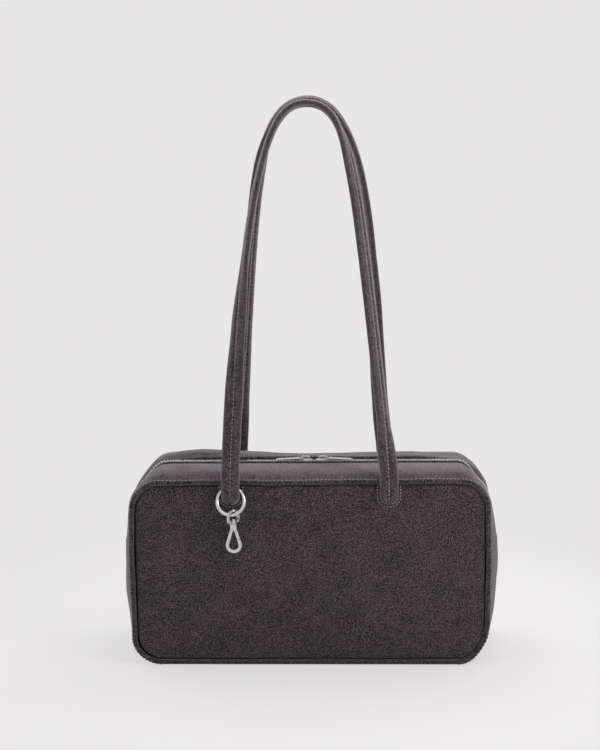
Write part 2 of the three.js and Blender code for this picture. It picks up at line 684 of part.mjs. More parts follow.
// Sewn end of a handle: a round tip on the panel, then the strap rises, over the ring if there is one.
function strapEnd(x, facing, overRing) {
  const sewnTop = STRAP_END_HEIGHT + STRAP_SEWN_LENGTH;
  const top = HINGE_HEIGHT - STRAP_HALF_THICKNESS - GAP;
  const sewnY = (z) => panelFace(x, z) + GAP + STRAP_HALF_THICKNESS;
  const centreY = (z) => {
    const rise = THREE.MathUtils.smoothstep(z, sewnTop - RING_WIRE, RING_TOP_HEIGHT - RING_WIRE);
    const bend = THREE.MathUtils.smoothstep(z, RING_TOP_HEIGHT, HINGE_HEIGHT);
    const middle = overRing ? THREE.MathUtils.lerp(sewnY(z), OVER_RING_Y, rise) : sewnY(z);
    return THREE.MathUtils.lerp(middle, HINGE_Y, bend);
  };
  const halfWidth = (z) => {
    const short = Math.max(0, STRAP_END_HEIGHT + STRAP_END_ROUND - z);
    return STRAP_HALF - STRAP_END_ROUND + Math.sqrt(STRAP_END_ROUND ** 2 - short ** 2);
  };
  const tipSteps = [0, 0.08, 0.35, 1].map((share) => STRAP_END_HEIGHT + share * STRAP_END_ROUND);
  const upperSteps = 8;
  const first = tipSteps[tipSteps.length - 1];
  const heights = [
    ...tipSteps,
    ...Array.from({ length: upperSteps }, (_, i) => first + ((top - first) * (i + 1)) / upperSteps),
  ];
  const across = new THREE.Vector3(1, 0, 0);
  const out = new THREE.Vector3(0, facing, 0);
  return tube(
    heights.map((z) => {
      const centre = new THREE.Vector3(x, facing * centreY(z), z);
      return strapSection(centre, across, out, halfWidth(z), STRAP_HALF_THICKNESS);
    }),
  );
}

// One leg of a handle's arch in its own leaning plane, from the bend to the apex: x across, y up the plane.
function archLeg(sign, [drawnIn, straight, breadth], length) {
  const curve = new THREE.CubicBezierCurve(
    new THREE.Vector2(sign * HANDLE_X, 0),
    new THREE.Vector2(sign * HANDLE_X * (1 - drawnIn), straight * length),
    new THREE.Vector2(sign * HANDLE_X * breadth, length),
    new THREE.Vector2(0, length),
  );
  const share = (i) => 1 - (1 - i / LEG_STEPS) ** LEG_CROWDING;
  return Array.from({ length: LEG_STEPS + 1 }, (_, i) => curve.getPointAt(share(i)));
}

// How far a leg has turned from facing front towards facing outwards, at a height above the top seam.
function strapTwist(height, degrees) {
  let turned = 0;
  for (let i = 1; i < degrees.length; i++) {
    const share = THREE.MathUtils.smoothstep(height, TWIST_HEIGHTS[i - 1], TWIST_HEIGHTS[i]);
    turned += (degrees[i] - degrees[i - 1]) * share;
  }
  return THREE.MathUtils.degToRad(turned);
}

function handleLoop(side, facing) {
  const rise = HANDLE_RISE - HINGE_RISE + (facing === FRONT ? 0 : BACK_RISE);
  const angle = Math.atan((HINGE_Y - APEX_Y) / rise);
  const length = rise / Math.cos(angle);
  const legs = ARCH_LEGS[side];
  const twists = LEG_TWISTS[side];
  const lean = new THREE.Vector3(0, -facing * Math.sin(angle), Math.cos(angle));
  const face = new THREE.Vector3(0, facing * Math.cos(angle), Math.sin(angle));
  const hinge = new THREE.Vector3(0, facing * HINGE_Y, HINGE_HEIGHT);
  const sideways = new THREE.Vector3(1, 0, 0);
  const flat = [...archLeg(-1, legs.left, length), ...archLeg(1, legs.right, length).reverse().slice(1)];
  const inSpace = (p) => hinge.clone().addScaledVector(sideways, p.x).addScaledVector(lean, p.y);
  const ringAt = (i) => {
    const before = flat[Math.max(0, i - 1)];
    const after = flat[Math.min(flat.length - 1, i + 1)];
    const along = sideways
      .clone()
      .multiplyScalar(after.x - before.x)
      .addScaledVector(lean, after.y - before.y)
      .normalize();
    const outward = new THREE.Vector3().crossVectors(face, along).multiplyScalar(-facing).normalize();
    const centre = inSpace(flat[i]);
    const twist = strapTwist(centre.z - BODY_HEIGHT, i <= LEG_STEPS ? twists.left : twists.right);
    const out = face.clone().multiplyScalar(Math.cos(twist)).addScaledVector(outward, Math.sin(twist));
    const across = new THREE.Vector3().crossVectors(along, out).normalize();
    return strapSection(centre, across, out, STRAP_HALF, STRAP_HALF_THICKNESS);
  };
  // Round knuckle below each foot, so that the loop can turn on the bend.
  const knuckle = (x, turned) =>
    KNUCKLE_DEGREES.map((degrees) => {
      const turn = THREE.MathUtils.degToRad(degrees);
      const centre = inSpace(new THREE.Vector2(x, STRAP_HALF_THICKNESS * Math.sin(turn)));
      const across = new THREE.Vector3().crossVectors(turned ? lean.clone().negate() : lean, face);
      return strapSection(centre, across, face, STRAP_HALF, STRAP_HALF_THICKNESS * Math.cos(turn));
    });
  return tube([
    ...knuckle(-HANDLE_X, false),
    ...flat.map((_, i) => ringAt(i)),
    ...knuckle(HANDLE_X, true).reverse(),
  ]);
}

// Cloth patch inside the lining, behind a sewn end.
function patch(x, facing) {
  const low = PANEL_HALF_HEIGHT + BODY_HEIGHT / 2 - BINDING_WIDTH - 2 * GAP - PATCH_HEIGHT;
  const steps = 2;
  const grid = (depth) =>
    Array.from({ length: steps + 1 }, (_, i) =>
      Array.from({ length: steps + 1 }, (_, j) => {
        const px = x + PATCH_WIDTH * (i / steps - 0.5);
        const pz = low + (PATCH_HEIGHT * j) / steps;
        return new THREE.Vector3(px, facing * (panelFace(px, pz) - depth), pz);
      }),
    );
  const depth = LINED_DEPTH + GAP;
  return slab(grid(depth), grid(depth + PATCH_THICKNESS));
}

for (const [side, facing] of SIDES) {
  add(bag, `${side}_handle`, handleLoop(side, facing), cloth);
  for (const [hand, sign] of [["left", -1], ["right", 1]]) {
    const overRing = facing === FRONT && sign < 0;
    add(bag, `${side}_handle_end_${hand}`, strapEnd(sign * HANDLE_X, facing, overRing), cloth);
    add(bag, `${side}_handle_patch_${hand}`, patch(sign * HANDLE_X, facing), cloth);
  }
}

// Ring: it lies behind the front left strap and leans out, so that the hook turns clear of the panel.
const EYE_TOP = RING_WIRE / 2 + EYE_PLAY;
const EYE_FOOT = EYE_TOP - EYE_OPENING - EYE_BASE;
const HOOK_TOP = EYE_FOOT - GAP;
const HOOK_Y = panelFace(HANDLE_X - HOOK_SHIFT, BODY_HEIGHT / 2) + HOOK_RADIUS + 2 * GAP;
const RING_DROP = RING_MIDDLE + Math.sqrt(RING_MIDDLE ** 2 - HOOK_SHIFT ** 2);
const RING_LEAN = Math.asin((HOOK_Y - RING_Y) / RING_DROP);

const ring = new THREE.Group();
ring.position.set(-HANDLE_X, -RING_Y, RING_TOP_HEIGHT);
ring.rotation.x = -RING_LEAN;
const torus = new THREE.TorusGeometry(RING_MIDDLE, RING_WIRE / 2, 8, 24).rotateX(Math.PI / 2);
add(ring, "strap_ring", torus, nickel).position.z = -RING_MIDDLE;
bag.add(ring);

// Swivel eye: an oval loop with a pierced base. Its origin is the middle of the ring's wire.
function eyeGeometry() {
  const half = EYE_WIDTH / 2;
  const hole = half - EYE_WIRE;
  const floor = EYE_FOOT + EYE_BASE;
  const outer = new THREE.Shape();
  outer.moveTo(EYE_CORNER - half, EYE_FOOT);
  outer.lineTo(half - EYE_CORNER, EYE_FOOT);
  outer.quadraticCurveTo(half, EYE_FOOT, half, EYE_FOOT + EYE_FLANK);
  outer.lineTo(half, EYE_TOP + EYE_WIRE - half);
  outer.absarc(0, EYE_TOP + EYE_WIRE - half, half, 0, Math.PI);
  outer.lineTo(-half, EYE_FOOT + EYE_FLANK);
  outer.quadraticCurveTo(-half, EYE_FOOT, EYE_CORNER - half, EYE_FOOT);
  const inner = new THREE.Path();
  inner.moveTo(EYE_FILLET - hole, floor);
  inner.lineTo(-hole, floor + EYE_FILLET);
  inner.lineTo(-hole, EYE_TOP - hole);
  inner.absarc(0, EYE_TOP - hole, hole, Math.PI, 0, true);
  inner.lineTo(hole, floor + EYE_FILLET);
  inner.lineTo(hole - EYE_FILLET, floor);
  outer.holes.push(inner);
  const loop = plateSolid(outer, EYE_DEPTH, 6);
  const boreRadius = POST_RADIUS + GAP;
  const boss = postSolid(boreRadius + EYE_BOSS_WALL, boreRadius + EYE_BOSS_WALL, EYE_FOOT, floor);
  return geometryOf(loop.add(boss).subtract(postSolid(boreRadius, boreRadius, EYE_FOOT - GAP, floor + GAP)));
}

// Hook: a pear-shaped band under a collar, a riveted post that turns in the eye, and a gate on its right.
const SPRING_LENGTH = SPRING_PITCH * SPRING_TURNS + SPRING_WIRE;
const SLOT_HALF = (GATE_TONGUE + SPRING_LENGTH) / 2 + GAP; // room for the gate's tongue and the spring
const COLLAR_HALF_WIDTH = COLLAR_WIDTH / 2;
const COLLAR_HALF_DEPTH = SLOT_HALF + CHEEK;
const COLLAR_FOOT = HOOK_TOP - COLLAR_HEIGHT;
const PEAR_CENTRE = HOOK_TOP - HOOK_LENGTH + HOOK_RADIUS;
const GATE_PIN_X = COLLAR_HALF_WIDTH - GATE_PIN_RADIUS - GAP;
const GATE_PIN_Z = COLLAR_FOOT - PIN_DROP;
const CHEEK_FOOT = GATE_PIN_Z - GATE_PIN_RADIUS - PIN_COVER;

// Pear outline: a circle and the two tangents that run up from it to a narrow top.
function pear(radius, topHalf, top) {
  const rise = top - PEAR_CENTRE;
  const reach = Math.hypot(topHalf, rise);
  const angle = Math.atan2(rise, topHalf) - Math.acos(radius / reach);
  const shape = new THREE.Shape();
  shape.moveTo(topHalf, top);
  shape.lineTo(-topHalf, top);
  shape.absarc(0, PEAR_CENTRE, radius, Math.PI - angle, 2 * Math.PI + angle);
  return shape;
}

function bandSolid(depth) {
  const outer = pear(HOOK_RADIUS, COLLAR_HALF_WIDTH, COLLAR_FOOT + CHEEK);
  outer.holes.push(pear(HOOK_RADIUS - HOOK_BAND, LOOP_TOP_WIDTH / 2, COLLAR_FOOT - CHEEK));
  return plateSolid(outer, depth, 12);
}

// The part of the band that the gate takes up, grown by a clearance.
function gateWindow(clearance) {
  const far = 2 * HOOK_RADIUS;
  const foot = COLLAR_FOOT - GATE_DROP - clearance;
  const inside = GATE_INSET - clearance;
  const corners = [
    [inside, COLLAR_FOOT + clearance],
    [far, COLLAR_FOOT + clearance],
    [far, foot + GATE_SLOPE * far],
    [inside, foot],
  ];
  const outline = new THREE.Shape(corners.map(([x, z]) => new THREE.Vector2(x, z)));
  return plateSolid(outline, 4 * COLLAR_HALF_DEPTH);
}

function hookGeometry() {
  const [wide, deep] = [COLLAR_HALF_WIDTH, COLLAR_HALF_DEPTH];
  const collar = boxSolid([-wide, -deep, COLLAR_FOOT], [wide, deep, HOOK_TOP]);
  const cheeks = boxSolid([CHEEK_INSET, -deep, CHEEK_FOOT], [wide, deep, COLLAR_FOOT + GAP]);
  const slot = boxSolid(
    [0, -SLOT_HALF, CHEEK_FOOT - GAP],
    [2 * wide, SLOT_HALF, GATE_PIN_Z + KNUCKLE_RADIUS + 2 * GAP],
  );
  const rivetFoot = EYE_FOOT + EYE_BASE + GAP;
  const rivetRadius = POST_RADIUS + GAP + RIVET_LIP;
  const post = postSolid(POST_RADIUS, POST_RADIUS, HOOK_TOP - GAP, rivetFoot + GAP);
  const rivet = postSolid(rivetRadius, RIVET_TAPER * rivetRadius, rivetFoot, rivetFoot + RIVET_HEIGHT);
  const bore = pinSolid(GATE_PIN_RADIUS + PIN_FIT, GATE_PIN_X, GATE_PIN_Z, -2 * deep, 2 * deep);
  return geometryOf(
    bandSolid(HOOK_DEPTH)
      .subtract(gateWindow(GAP))
      .add(collar)
      .add(cheeks)
      .subtract(slot)
      .add(post)
      .add(rivet)
      .subtract(bore),
  );
}

// Gate: the right arm of the pear, with a thin tongue on the pin.
const TONGUE_LOW = -SLOT_HALF + GAP / 2;

function gateGeometry() {
  const deep = COLLAR_HALF_DEPTH;
  const arm = bandSolid(GATE_DEPTH).intersect(gateWindow(0));
  const aside = boxSolid(
    [-COLLAR_WIDTH, TONGUE_LOW + GATE_TONGUE, CHEEK_FOOT - GAP],
    [COLLAR_WIDTH, deep, HOOK_TOP],
  );
  const knuckle = pinSolid(KNUCKLE_RADIUS, GATE_PIN_X, GATE_PIN_Z, TONGUE_LOW, TONGUE_LOW + GATE_TONGUE);
  const bore = pinSolid(GATE_PIN_RADIUS + GATE_PIN_CLEARANCE, GATE_PIN_X, GATE_PIN_Z, -2 * deep, 2 * deep);
  return geometryOf(arm.subtract(aside).add(knuckle).subtract(bore));
}

// Torsion spring beside the tongue, wound on the pin.
const SPRING_STEPS = 8; // steps in each turn
const SPRING_SIDES = 5;

function gateSpringGeometry() {
  const steps = SPRING_STEPS * SPRING_TURNS;
  const radius = GATE_PIN_RADIUS + GATE_PIN_CLEARANCE + SPRING_WIRE / 2;
  const start = TONGUE_LOW + GATE_TONGUE + GAP / 2 + SPRING_WIRE / 2;
  const rings = Array.from({ length: steps + 1 }, (_, i) => {
    const angle = (2 * Math.PI * SPRING_TURNS * i) / steps;
    const radial = new THREE.Vector3(Math.cos(angle), 0, Math.sin(angle));
    const centre = radial.clone().multiplyScalar(radius);
    centre.add(new THREE.Vector3(GATE_PIN_X, start + (SPRING_PITCH * SPRING_TURNS * i) / steps, GATE_PIN_Z));
    return Array.from({ length: SPRING_SIDES }, (_, j) => {
      const turn = (2 * Math.PI * j) / SPRING_SIDES;
      return centre
        .clone()
        .addScaledVector(radial, (SPRING_WIRE / 2) * Math.cos(turn))
        .add(new THREE.Vector3(0, (SPRING_WIRE / 2) * Math.sin(turn), 0));
    });
  });
  return tube(rings);
}

const hanger = new THREE.Group();
const ringFoot = new THREE.Vector3(HOOK_SHIFT, 0, -RING_DROP).applyEuler(ring.rotation).add(ring.position);
hanger.position.copy(ringFoot);
add(hanger, "swivel_eye", eyeGeometry(), nickel).rotation.z = EYE_TURN;
add(hanger, "snap_hook", hookGeometry(), nickel);
add(hanger, "hook_gate", gateGeometry(), nickel);
add(
  hanger,
  "gate_pin",
  geometryOf(pinSolid(GATE_PIN_RADIUS, GATE_PIN_X, GATE_PIN_Z, -COLLAR_HALF_DEPTH, COLLAR_HALF_DEPTH)),
  nickel,
);
add(hanger, "gate_spring", gateSpringGeometry(), nickel);
bag.add(hanger);

export default bag;
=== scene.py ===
"""A zipped bowler bag in charcoal brushed canvas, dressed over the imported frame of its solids."""

import json
import math

import bmesh
import bpy
import numpy as np
from mathutils import Matrix, Vector, noise


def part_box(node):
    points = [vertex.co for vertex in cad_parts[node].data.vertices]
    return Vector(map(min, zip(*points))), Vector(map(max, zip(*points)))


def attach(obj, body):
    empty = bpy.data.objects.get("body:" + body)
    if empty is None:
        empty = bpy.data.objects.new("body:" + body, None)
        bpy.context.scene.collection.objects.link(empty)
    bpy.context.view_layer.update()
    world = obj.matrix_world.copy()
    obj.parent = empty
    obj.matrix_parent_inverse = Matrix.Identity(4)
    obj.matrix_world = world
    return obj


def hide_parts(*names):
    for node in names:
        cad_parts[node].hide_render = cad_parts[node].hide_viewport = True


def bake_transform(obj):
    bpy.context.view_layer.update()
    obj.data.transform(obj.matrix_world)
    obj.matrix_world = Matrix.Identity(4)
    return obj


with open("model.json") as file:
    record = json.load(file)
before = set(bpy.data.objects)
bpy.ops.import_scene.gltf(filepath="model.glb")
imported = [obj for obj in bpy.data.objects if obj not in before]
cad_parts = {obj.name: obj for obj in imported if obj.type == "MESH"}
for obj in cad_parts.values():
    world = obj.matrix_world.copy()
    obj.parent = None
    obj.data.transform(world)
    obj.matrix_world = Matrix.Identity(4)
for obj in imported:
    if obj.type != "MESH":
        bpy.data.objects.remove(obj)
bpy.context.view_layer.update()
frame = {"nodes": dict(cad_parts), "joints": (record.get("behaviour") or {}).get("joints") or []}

# The viewpoint: a long lens a little above the bag, almost square to its front.
# The picture is tipped by half a degree, so the right end of the bag stands a little higher.
PICTURE_HEIGHT = 750
FOCAL_PIXELS = 1366.5
CAMERA_DISTANCE = 1.2067
CAMERA_HEIGHT = 0.4634
CAMERA_AZIMUTH = math.radians(1.30)
CAMERA_YAW = math.radians(0.43)
CAMERA_PITCH = math.radians(9.85)
CAMERA_ROLL = math.radians(-0.61)

lens = bpy.data.cameras.new("camera")
lens.sensor_width = 36.0
lens.lens = lens.sensor_width * FOCAL_PIXELS / PICTURE_HEIGHT
camera = bpy.data.objects.new("camera", lens)
bpy.context.scene.collection.objects.link(camera)
camera.matrix_world = (
    Matrix.Translation((
        CAMERA_DISTANCE * math.sin(CAMERA_AZIMUTH),
        -CAMERA_DISTANCE * math.cos(CAMERA_AZIMUTH),
        CAMERA_HEIGHT,
    ))
    @ Matrix.Rotation(CAMERA_AZIMUTH + CAMERA_YAW, 4, "Z")
    @ Matrix.Rotation(math.pi / 2 - CAMERA_PITCH, 4, "X")
    @ Matrix.Rotation(CAMERA_ROLL, 4, "Z")
)
bpy.context.scene.camera = camera


# The gusset: one strip of brushed canvas up both sides and under the base, and two strips over the top
# with the zip between them. It is sewn to the panels all round and swells a little between the seams.
SIDES = (("front", -1), ("back", 1))
HANDS = (("left", -1), ("right", 1))
WELT_LOW, WELT_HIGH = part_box("front_welt")
STRAP_LOW, STRAP_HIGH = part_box("front_handle_end_right")
HANDLE_X = (STRAP_LOW.x + STRAP_HIGH.x) / 2
HALF_WIDTH = WELT_HIGH.x
BODY_HEIGHT = WELT_HIGH.z
HALF_DEPTH = -WELT_LOW.y
WELT_THICKNESS = WELT_HIGH.y - WELT_LOW.y
CORNER_RADIUS = 0.026
CORNER_X = HALF_WIDTH - CORNER_RADIUS
SIDE_HEIGHT = BODY_HEIGHT - 2 * CORNER_RADIUS
QUARTER_TURN = CORNER_RADIUS * math.pi / 2
HALF_SEAM = 2 * CORNER_X + 2 * QUARTER_TURN + SIDE_HEIGHT
ZIP_END_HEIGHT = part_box("base_gusset")[1].z
ZIP_HALF_RUN = CORNER_X + QUARTER_TURN + BODY_HEIGHT - CORNER_RADIUS - ZIP_END_HEIGHT
GUSSET_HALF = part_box("base_gusset")[1].y
STRIP_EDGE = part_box("top_strip_back")[0].y
SIDE_CROWN = 0.0094
SIDE_CROWN_POWER = 1.5
SIDE_ROLL_POWER = 2.3
TOP_CROWN = 0.0047
TOP_CROWN_POWER = 6
TOP_ROLL_POWER = 5
WELT_RADIUS = WELT_THICKNESS / 2
WELT_Y = HALF_DEPTH - WELT_RADIUS
TOP_SINK = 0.0005
EDGE_GAP = 0.00035
EDGE_RADIUS = WELT_RADIUS + EDGE_GAP
EDGE_HALF = WELT_Y + EDGE_RADIUS * math.sin(math.radians(60))
CLOTH = 0.0014
JOIN_GAP = 0.0003
STATION_STEP = 0.003
FOLD_RADIUS = 0.0011
FOLD_SHARE = 0.8
FRONT_FOLD_DROP = 0.0016
FRONT_FOLD_REACH = 0.008
FRONT_ZIP_REACH = (0.004, 0.035)
BACK_FOLD_RISE = 0.0016
BACK_FOLD_REACH = 0.006
BACK_FOLD_ENDS = (0.095, 0.132)
BACK_FOLD_TURN = 1.3
BACK_ZIP_REACH = (0.004, 0.014)
PUFF_FROM = 0.015
PUFF_TO = 0.022
# Millimetres along the top from its middle, and how far the zip or the back strip lies over its drawn
# height there.
ZIP_WANDER = (
    (-180, 0), (-168, -0.4), (-158, -1.4), (-150, -1.9), (-142, -1.5), (-133, -0.4), (-126, 0),
    (-80, 0), (-50, 0.1), (55, 0.1), (80, 0.2), (110, 0.1), (120, 0),
    (136, 0), (142, -1.0), (148, -2.2), (154, -2.4), (164, -1.2), (174, 0),
)
BACK_PUFF = (
    (-165, 0), (-150, 0.8), (-135, 1.2), (-118, 3.3), (-100, 4.6), (-75, 3.2), (-45, 2.2),
    (-20, 0.8), (0, 0), (40, 0.3), (70, 1.2), (95, 2.3), (112, 0.0), (128, -1.9),
    (140, -0.2), (152, 1.8), (163, 1.7), (176, 0), (185, 0),
)
WANDER_STEPS = 400
WANDER_WINDOW = 15
# Millimetres up a side, and how far the side stands out there.
LEFT_TRIM = ((0, 0), (60, 0), (90, -2.6), (125, -1.4), (142, 0.8), (155, 0.8), (170, 0))
RIGHT_TRIM = ((0, 0), (50, -0.3), (72, -1.7), (100, -0.2), (125, 0.8), (150, 0.4), (170, 0))
TRIM_FROM = (0.145, 0.160)
CORNER_PRESS = 0.0045
PRESS_HEIGHT = 0.010
PRESS_REACH = 0.016
PRESS_FROM = (0.105, 0.158)
LEFT_SPREAD = 0.0021
SPREAD_FROM = (0.095, 0.150)
SPREAD_BELOW = (-0.158, -0.125)
BROAD_DENTS = (11.0, 0.0020)
SMALL_DENTS = (34.0, 0.0006)
FLOOR_HOLD = (0.002, 0.04)
ZIP_HOLD = (0.006, 0.02)
HANDLE_HOLD = (0.014, 0.034)
HANDLE_HOLD_FROM = 0.1
PANEL_HOLD_Y = 0.04
PANEL_HOLD_FADE = 0.02
DENT_WAYS = (Vector((3.7, 1.9, 8.2)), Vector((21.3, 14.6, 5.1)), Vector((40.8, 33.5, 27.4)))


class Wire:
    """One output of a shader node. Python's operators on it add Math nodes."""

    def __init__(self, tree, socket=None):
        self.tree = tree
        self.socket = socket

    def node(self, kind, settings=None, inputs=None, output=0):
        """Adds a node: first its settings, then the values or links of its sockets."""
        made = self.tree.nodes.new("ShaderNode" + kind)
        for name, value in (settings or {}).items():
            setattr(made, name, value)
        for name, value in (inputs or {}).items():
            if isinstance(value, Wire):
                self.tree.links.new(value.socket, made.inputs[name])
            else:
                made.inputs[name].default_value = value
        return Wire(self.tree, made.outputs[output])

    def math(self, operation, *values):
        return self.node("Math", {"operation": operation}, dict(enumerate(values)))

    def __add__(self, other):
        return self.math("ADD", self, other)

    def __sub__(self, other):
        return self.math("SUBTRACT", self, other)

    def __rsub__(self, other):
        return self.math("SUBTRACT", other, self)

    def __mul__(self, other):
        return self.math("MULTIPLY", self, other)

    def __truediv__(self, other):
        return self.math("DIVIDE", self, other)

    __radd__ = __add__
    __rmul__ = __mul__

    def sin(self):
        return self.math("SINE", self)

    def abs(self):
        return self.math("ABSOLUTE", self)

    def step(self, low, high):
        """Rises smoothly from 0 to 1 between two values."""
        sockets = {"Value": self, "From Min": low, "From Max": high}
        return self.node("MapRange", {"interpolation_type": "SMOOTHSTEP"}, sockets)

    def tint(self, first, second):
        """Mixes two colours, with this value as the share of the second."""
        return self.node("Mix", {"data_type": "RGBA"}, {0: self, 6: first, 7: second}, 2)

    def noise(self, place, scale, detail=2.0, roughness=0.5, stretch=(1, 1, 1)):
        moved = self.node("Mapping", None, {"Vector": place, "Scale": stretch})
        sockets = {"Vector": moved, "Scale": scale, "Detail": detail, "Roughness": roughness}
        return self.node("TexNoise", None, sockets)


def new_finish(name):
    """A material, the wire that starts its maths, and the surface shader's sockets."""
    made = bpy.data.materials.new(name)
    made.use_nodes = True
    shader = made.node_tree.nodes["Principled BSDF"]
    return made, Wire(made.node_tree), shader.inputs


def link(wire, socket):
    wire.tree.links.new(wire.socket, socket)


def srgb(red, green, blue):
    """A colour as it is seen, in steps of 0 to 255, as the linear values that shaders take."""
    def linear(c):
        return c / 12.92 if c <= 0.04045 else ((c + 0.055) / 1.055) ** 2.4
    return tuple(linear(c / 255) for c in (red, green, blue))


CANVAS_DARK = srgb(12, 9, 10)
CANVAS_MAIN = srgb(112, 101, 106)
CANVAS_FIBRE = srgb(178, 168, 173)
CANVAS_PITCH = 0.0009


def brushed_canvas(name, crest=0.0, lines=0.3, plain_from=None, pale=0.0, sheen=0.45):
    """Melange canvas with a raised nap: dyed yarns, pale loose fibres, a plain weave and a soft sheen.

    The weave follows each piece's own cloth map, in metres. A crest lightens what lies along the top
    of a rolled edge, where the nap is rubbed. Lines is how much single yarns stand out, and they stop
    standing out at a distance across the cloth where it turns over. Pale is painted light: it lifts
    the whole cloth's colour beyond what the lamps give it. Sheen is higher where the nap is rubbed
    all over."""
    made, wire, sockets = new_finish(name)
    cloth_map = wire.node("UVMap", {"uv_map": "cloth"})
    along = wire.node("SeparateXYZ", None, {0: cloth_map}, 0)
    across = wire.node("SeparateXYZ", None, {0: cloth_map}, 1)
    drift = wire.noise(cloth_map, 160.0, 1.0)
    warp = ((along + drift * 0.0006) * (math.pi / CANVAS_PITCH)).sin()
    weft = ((across + drift * 0.0006) * (math.pi / CANVAS_PITCH)).sin()
    over = (warp * weft).step(-0.35, 0.35)
    threads = over * warp.abs() + (1 - over) * weft.abs()
    grain = wire.noise(cloth_map, 1150.0, 2.0, 0.8)
    melange = wire.node("TexVoronoi", None, {"Vector": cloth_map, "Scale": 1050.0}, 1)
    speck = wire.node("SeparateXYZ", None, {0: melange}, 0)
    nap = wire.noise(cloth_map, 2600.0, 2.0, 0.6)
    cloud = wire.noise(cloth_map, 34.0, 3.0, 0.55)
    long_yarns = wire.noise(cloth_map, 1000.0, 2.0, 0.6, (0.12, 1, 1))
    cross_yarns = wire.noise(cloth_map, 1000.0, 2.0, 0.6, (1, 0.12, 1))
    flecks = wire.noise(cloth_map, 1150.0, 2.0, 0.5).step(0.57, 0.77)
    hairs = (long_yarns * cross_yarns).step(0.36, 0.52)
    fibres = flecks * 0.46 + hairs * nap * 0.20
    if plain_from:
        lines = (1 - across.step(plain_from, plain_from + 0.006)) * lines
    yarn = (grain - 0.5) * 2.6 + (speck - 0.5) * 0.6 + (long_yarns + cross_yarns - 1.0) * lines
    # pale adds painted light: it lifts the whole cloth's colour evenly.
    yarn = yarn + (cloud - 0.5) * 0.36 + 0.29 + pale
    dyed = (yarn + (threads - 0.6) * 0.1).tint((*CANVAS_DARK, 1), (*CANVAS_MAIN, 1))
    if crest:
        fibres = fibres + (across * (2 * math.pi / CREST_GIRTH)).sin().step(0.2, 1.0) * crest
    link(fibres.tint(dyed, (*CANVAS_FIBRE, 1)), sockets["Base Color"])
    link(0.99 - fibres * 0.25, sockets["Roughness"])
    height = threads * 0.5 + nap * 0.7 + grain * 1.2 + (long_yarns + cross_yarns) * lines * 0.8
    bump = wire.node("Bump", None, {"Strength": 0.55, "Distance": 0.0006, "Height": height})
    link(bump, sockets["Normal"])
    sockets["Specular IOR Level"].default_value = 0.15
    sockets["Sheen Weight"].default_value = sheen
    sockets["Sheen Roughness"].default_value = 0.40
    sockets["Sheen Tint"].default_value = (0.86, 0.80, 0.85, 1)
    return made


def smoothstep(value, low, high):
    t = np.clip((value - low) / (high - low), 0, 1)
    return t * t * (3 - 2 * t)


def seam_outline(s):
    """Points and outward normals of the body's outline, at lengths s from the top's middle, clockwise."""
    s = (np.asarray(s, float) + HALF_SEAM) % (2 * HALF_SEAM) - HALF_SEAM
    side, run = np.sign(s), np.abs(s)
    ends = np.cumsum([CORNER_X, QUARTER_TURN, SIDE_HEIGHT, QUARTER_TURN, CORNER_X])
    upper = np.clip((run - ends[0]) / CORNER_RADIUS, 0, math.pi / 2)
    lower = np.clip((run - ends[2]) / CORNER_RADIUS, 0, math.pi / 2)
    turn = upper + lower
    nx, nz = np.sin(turn), np.cos(turn)
    top_x = np.minimum(run, CORNER_X)
    bottom_x = np.where(run > ends[3], ends[4] - run, CORNER_X)
    x = np.minimum(top_x, bottom_x) + CORNER_RADIUS * nx
    drop = np.clip(run - ends[1], 0, SIDE_HEIGHT)
    z = BODY_HEIGHT - CORNER_RADIUS - drop + CORNER_RADIUS * nz
    return side * x, z, side * nx, nz


def wander(s, table):
    """A smooth line through a few places and shifts, both given in millimetres."""
    places, heights = np.array(table).T / 1000
    fine = np.linspace(places[0], places[-1], WANDER_STEPS)
    window = np.hanning(WANDER_WINDOW) / np.hanning(WANDER_WINDOW).sum()
    padded = np.pad(np.interp(fine, places, heights), WANDER_WINDOW // 2, "edge")
    level = np.convolve(padded, window, "valid")
    return np.interp(s, fine, level)


def dents(points, scale, depth):
    """Smooth shifts that are different in each direction and the same in every run."""
    flat = points.reshape(-1, 3)
    shifts = [[noise.noise(Vector(p) * scale + way) for way in DENT_WAYS] for p in flat]
    return np.array(shifts).reshape(points.shape) * depth


def give(points):
    """How far the soft body departs from its drawn shape: it sags and dents by about a millimetre,
    but not on the floor, under the handle ends or along the sliders' way."""
    shift = dents(points, *BROAD_DENTS) + dents(points, *SMALL_DENTS)
    x, y, z = points[..., 0], points[..., 1], points[..., 2]
    trim = np.where(x < 0, -wander(z, LEFT_TRIM), wander(z, RIGHT_TRIM))
    slump = trim * smoothstep(np.abs(x), *TRIM_FROM) * np.maximum(0, 1 - (y / GUSSET_HALF) ** 2)
    corner = np.exp(-(((z - PRESS_HEIGHT) / PRESS_REACH) ** 2)) * smoothstep(x, *PRESS_FROM)
    hold = smoothstep(z, *FLOOR_HOLD) * smoothstep(np.abs(y), *ZIP_HOLD)
    beside_handle = smoothstep(np.abs(np.abs(x) - HANDLE_X), *HANDLE_HOLD)
    off_panel = smoothstep(PANEL_HOLD_Y - np.abs(y), 0, PANEL_HOLD_FADE)
    hold = hold * np.where(z > HANDLE_HOLD_FROM, np.maximum(beside_handle, off_panel), 1)
    moved = shift * hold[..., None]
    spread = smoothstep(-x, *SPREAD_FROM) * smoothstep(-z, *SPREAD_BELOW)
    moved[..., 0] += slump - CORNER_PRESS * corner - LEFT_SPREAD * spread
    return moved


def welt_depth(s):
    """How far the middle of a welt lies inside the seam outline. Along the top it sinks under the cloth."""
    nz = seam_outline(s)[3]
    return WELT_RADIUS + TOP_SINK * np.maximum(nz, 0) ** 2 + EDGE_GAP * np.maximum(-nz, 0) ** 2


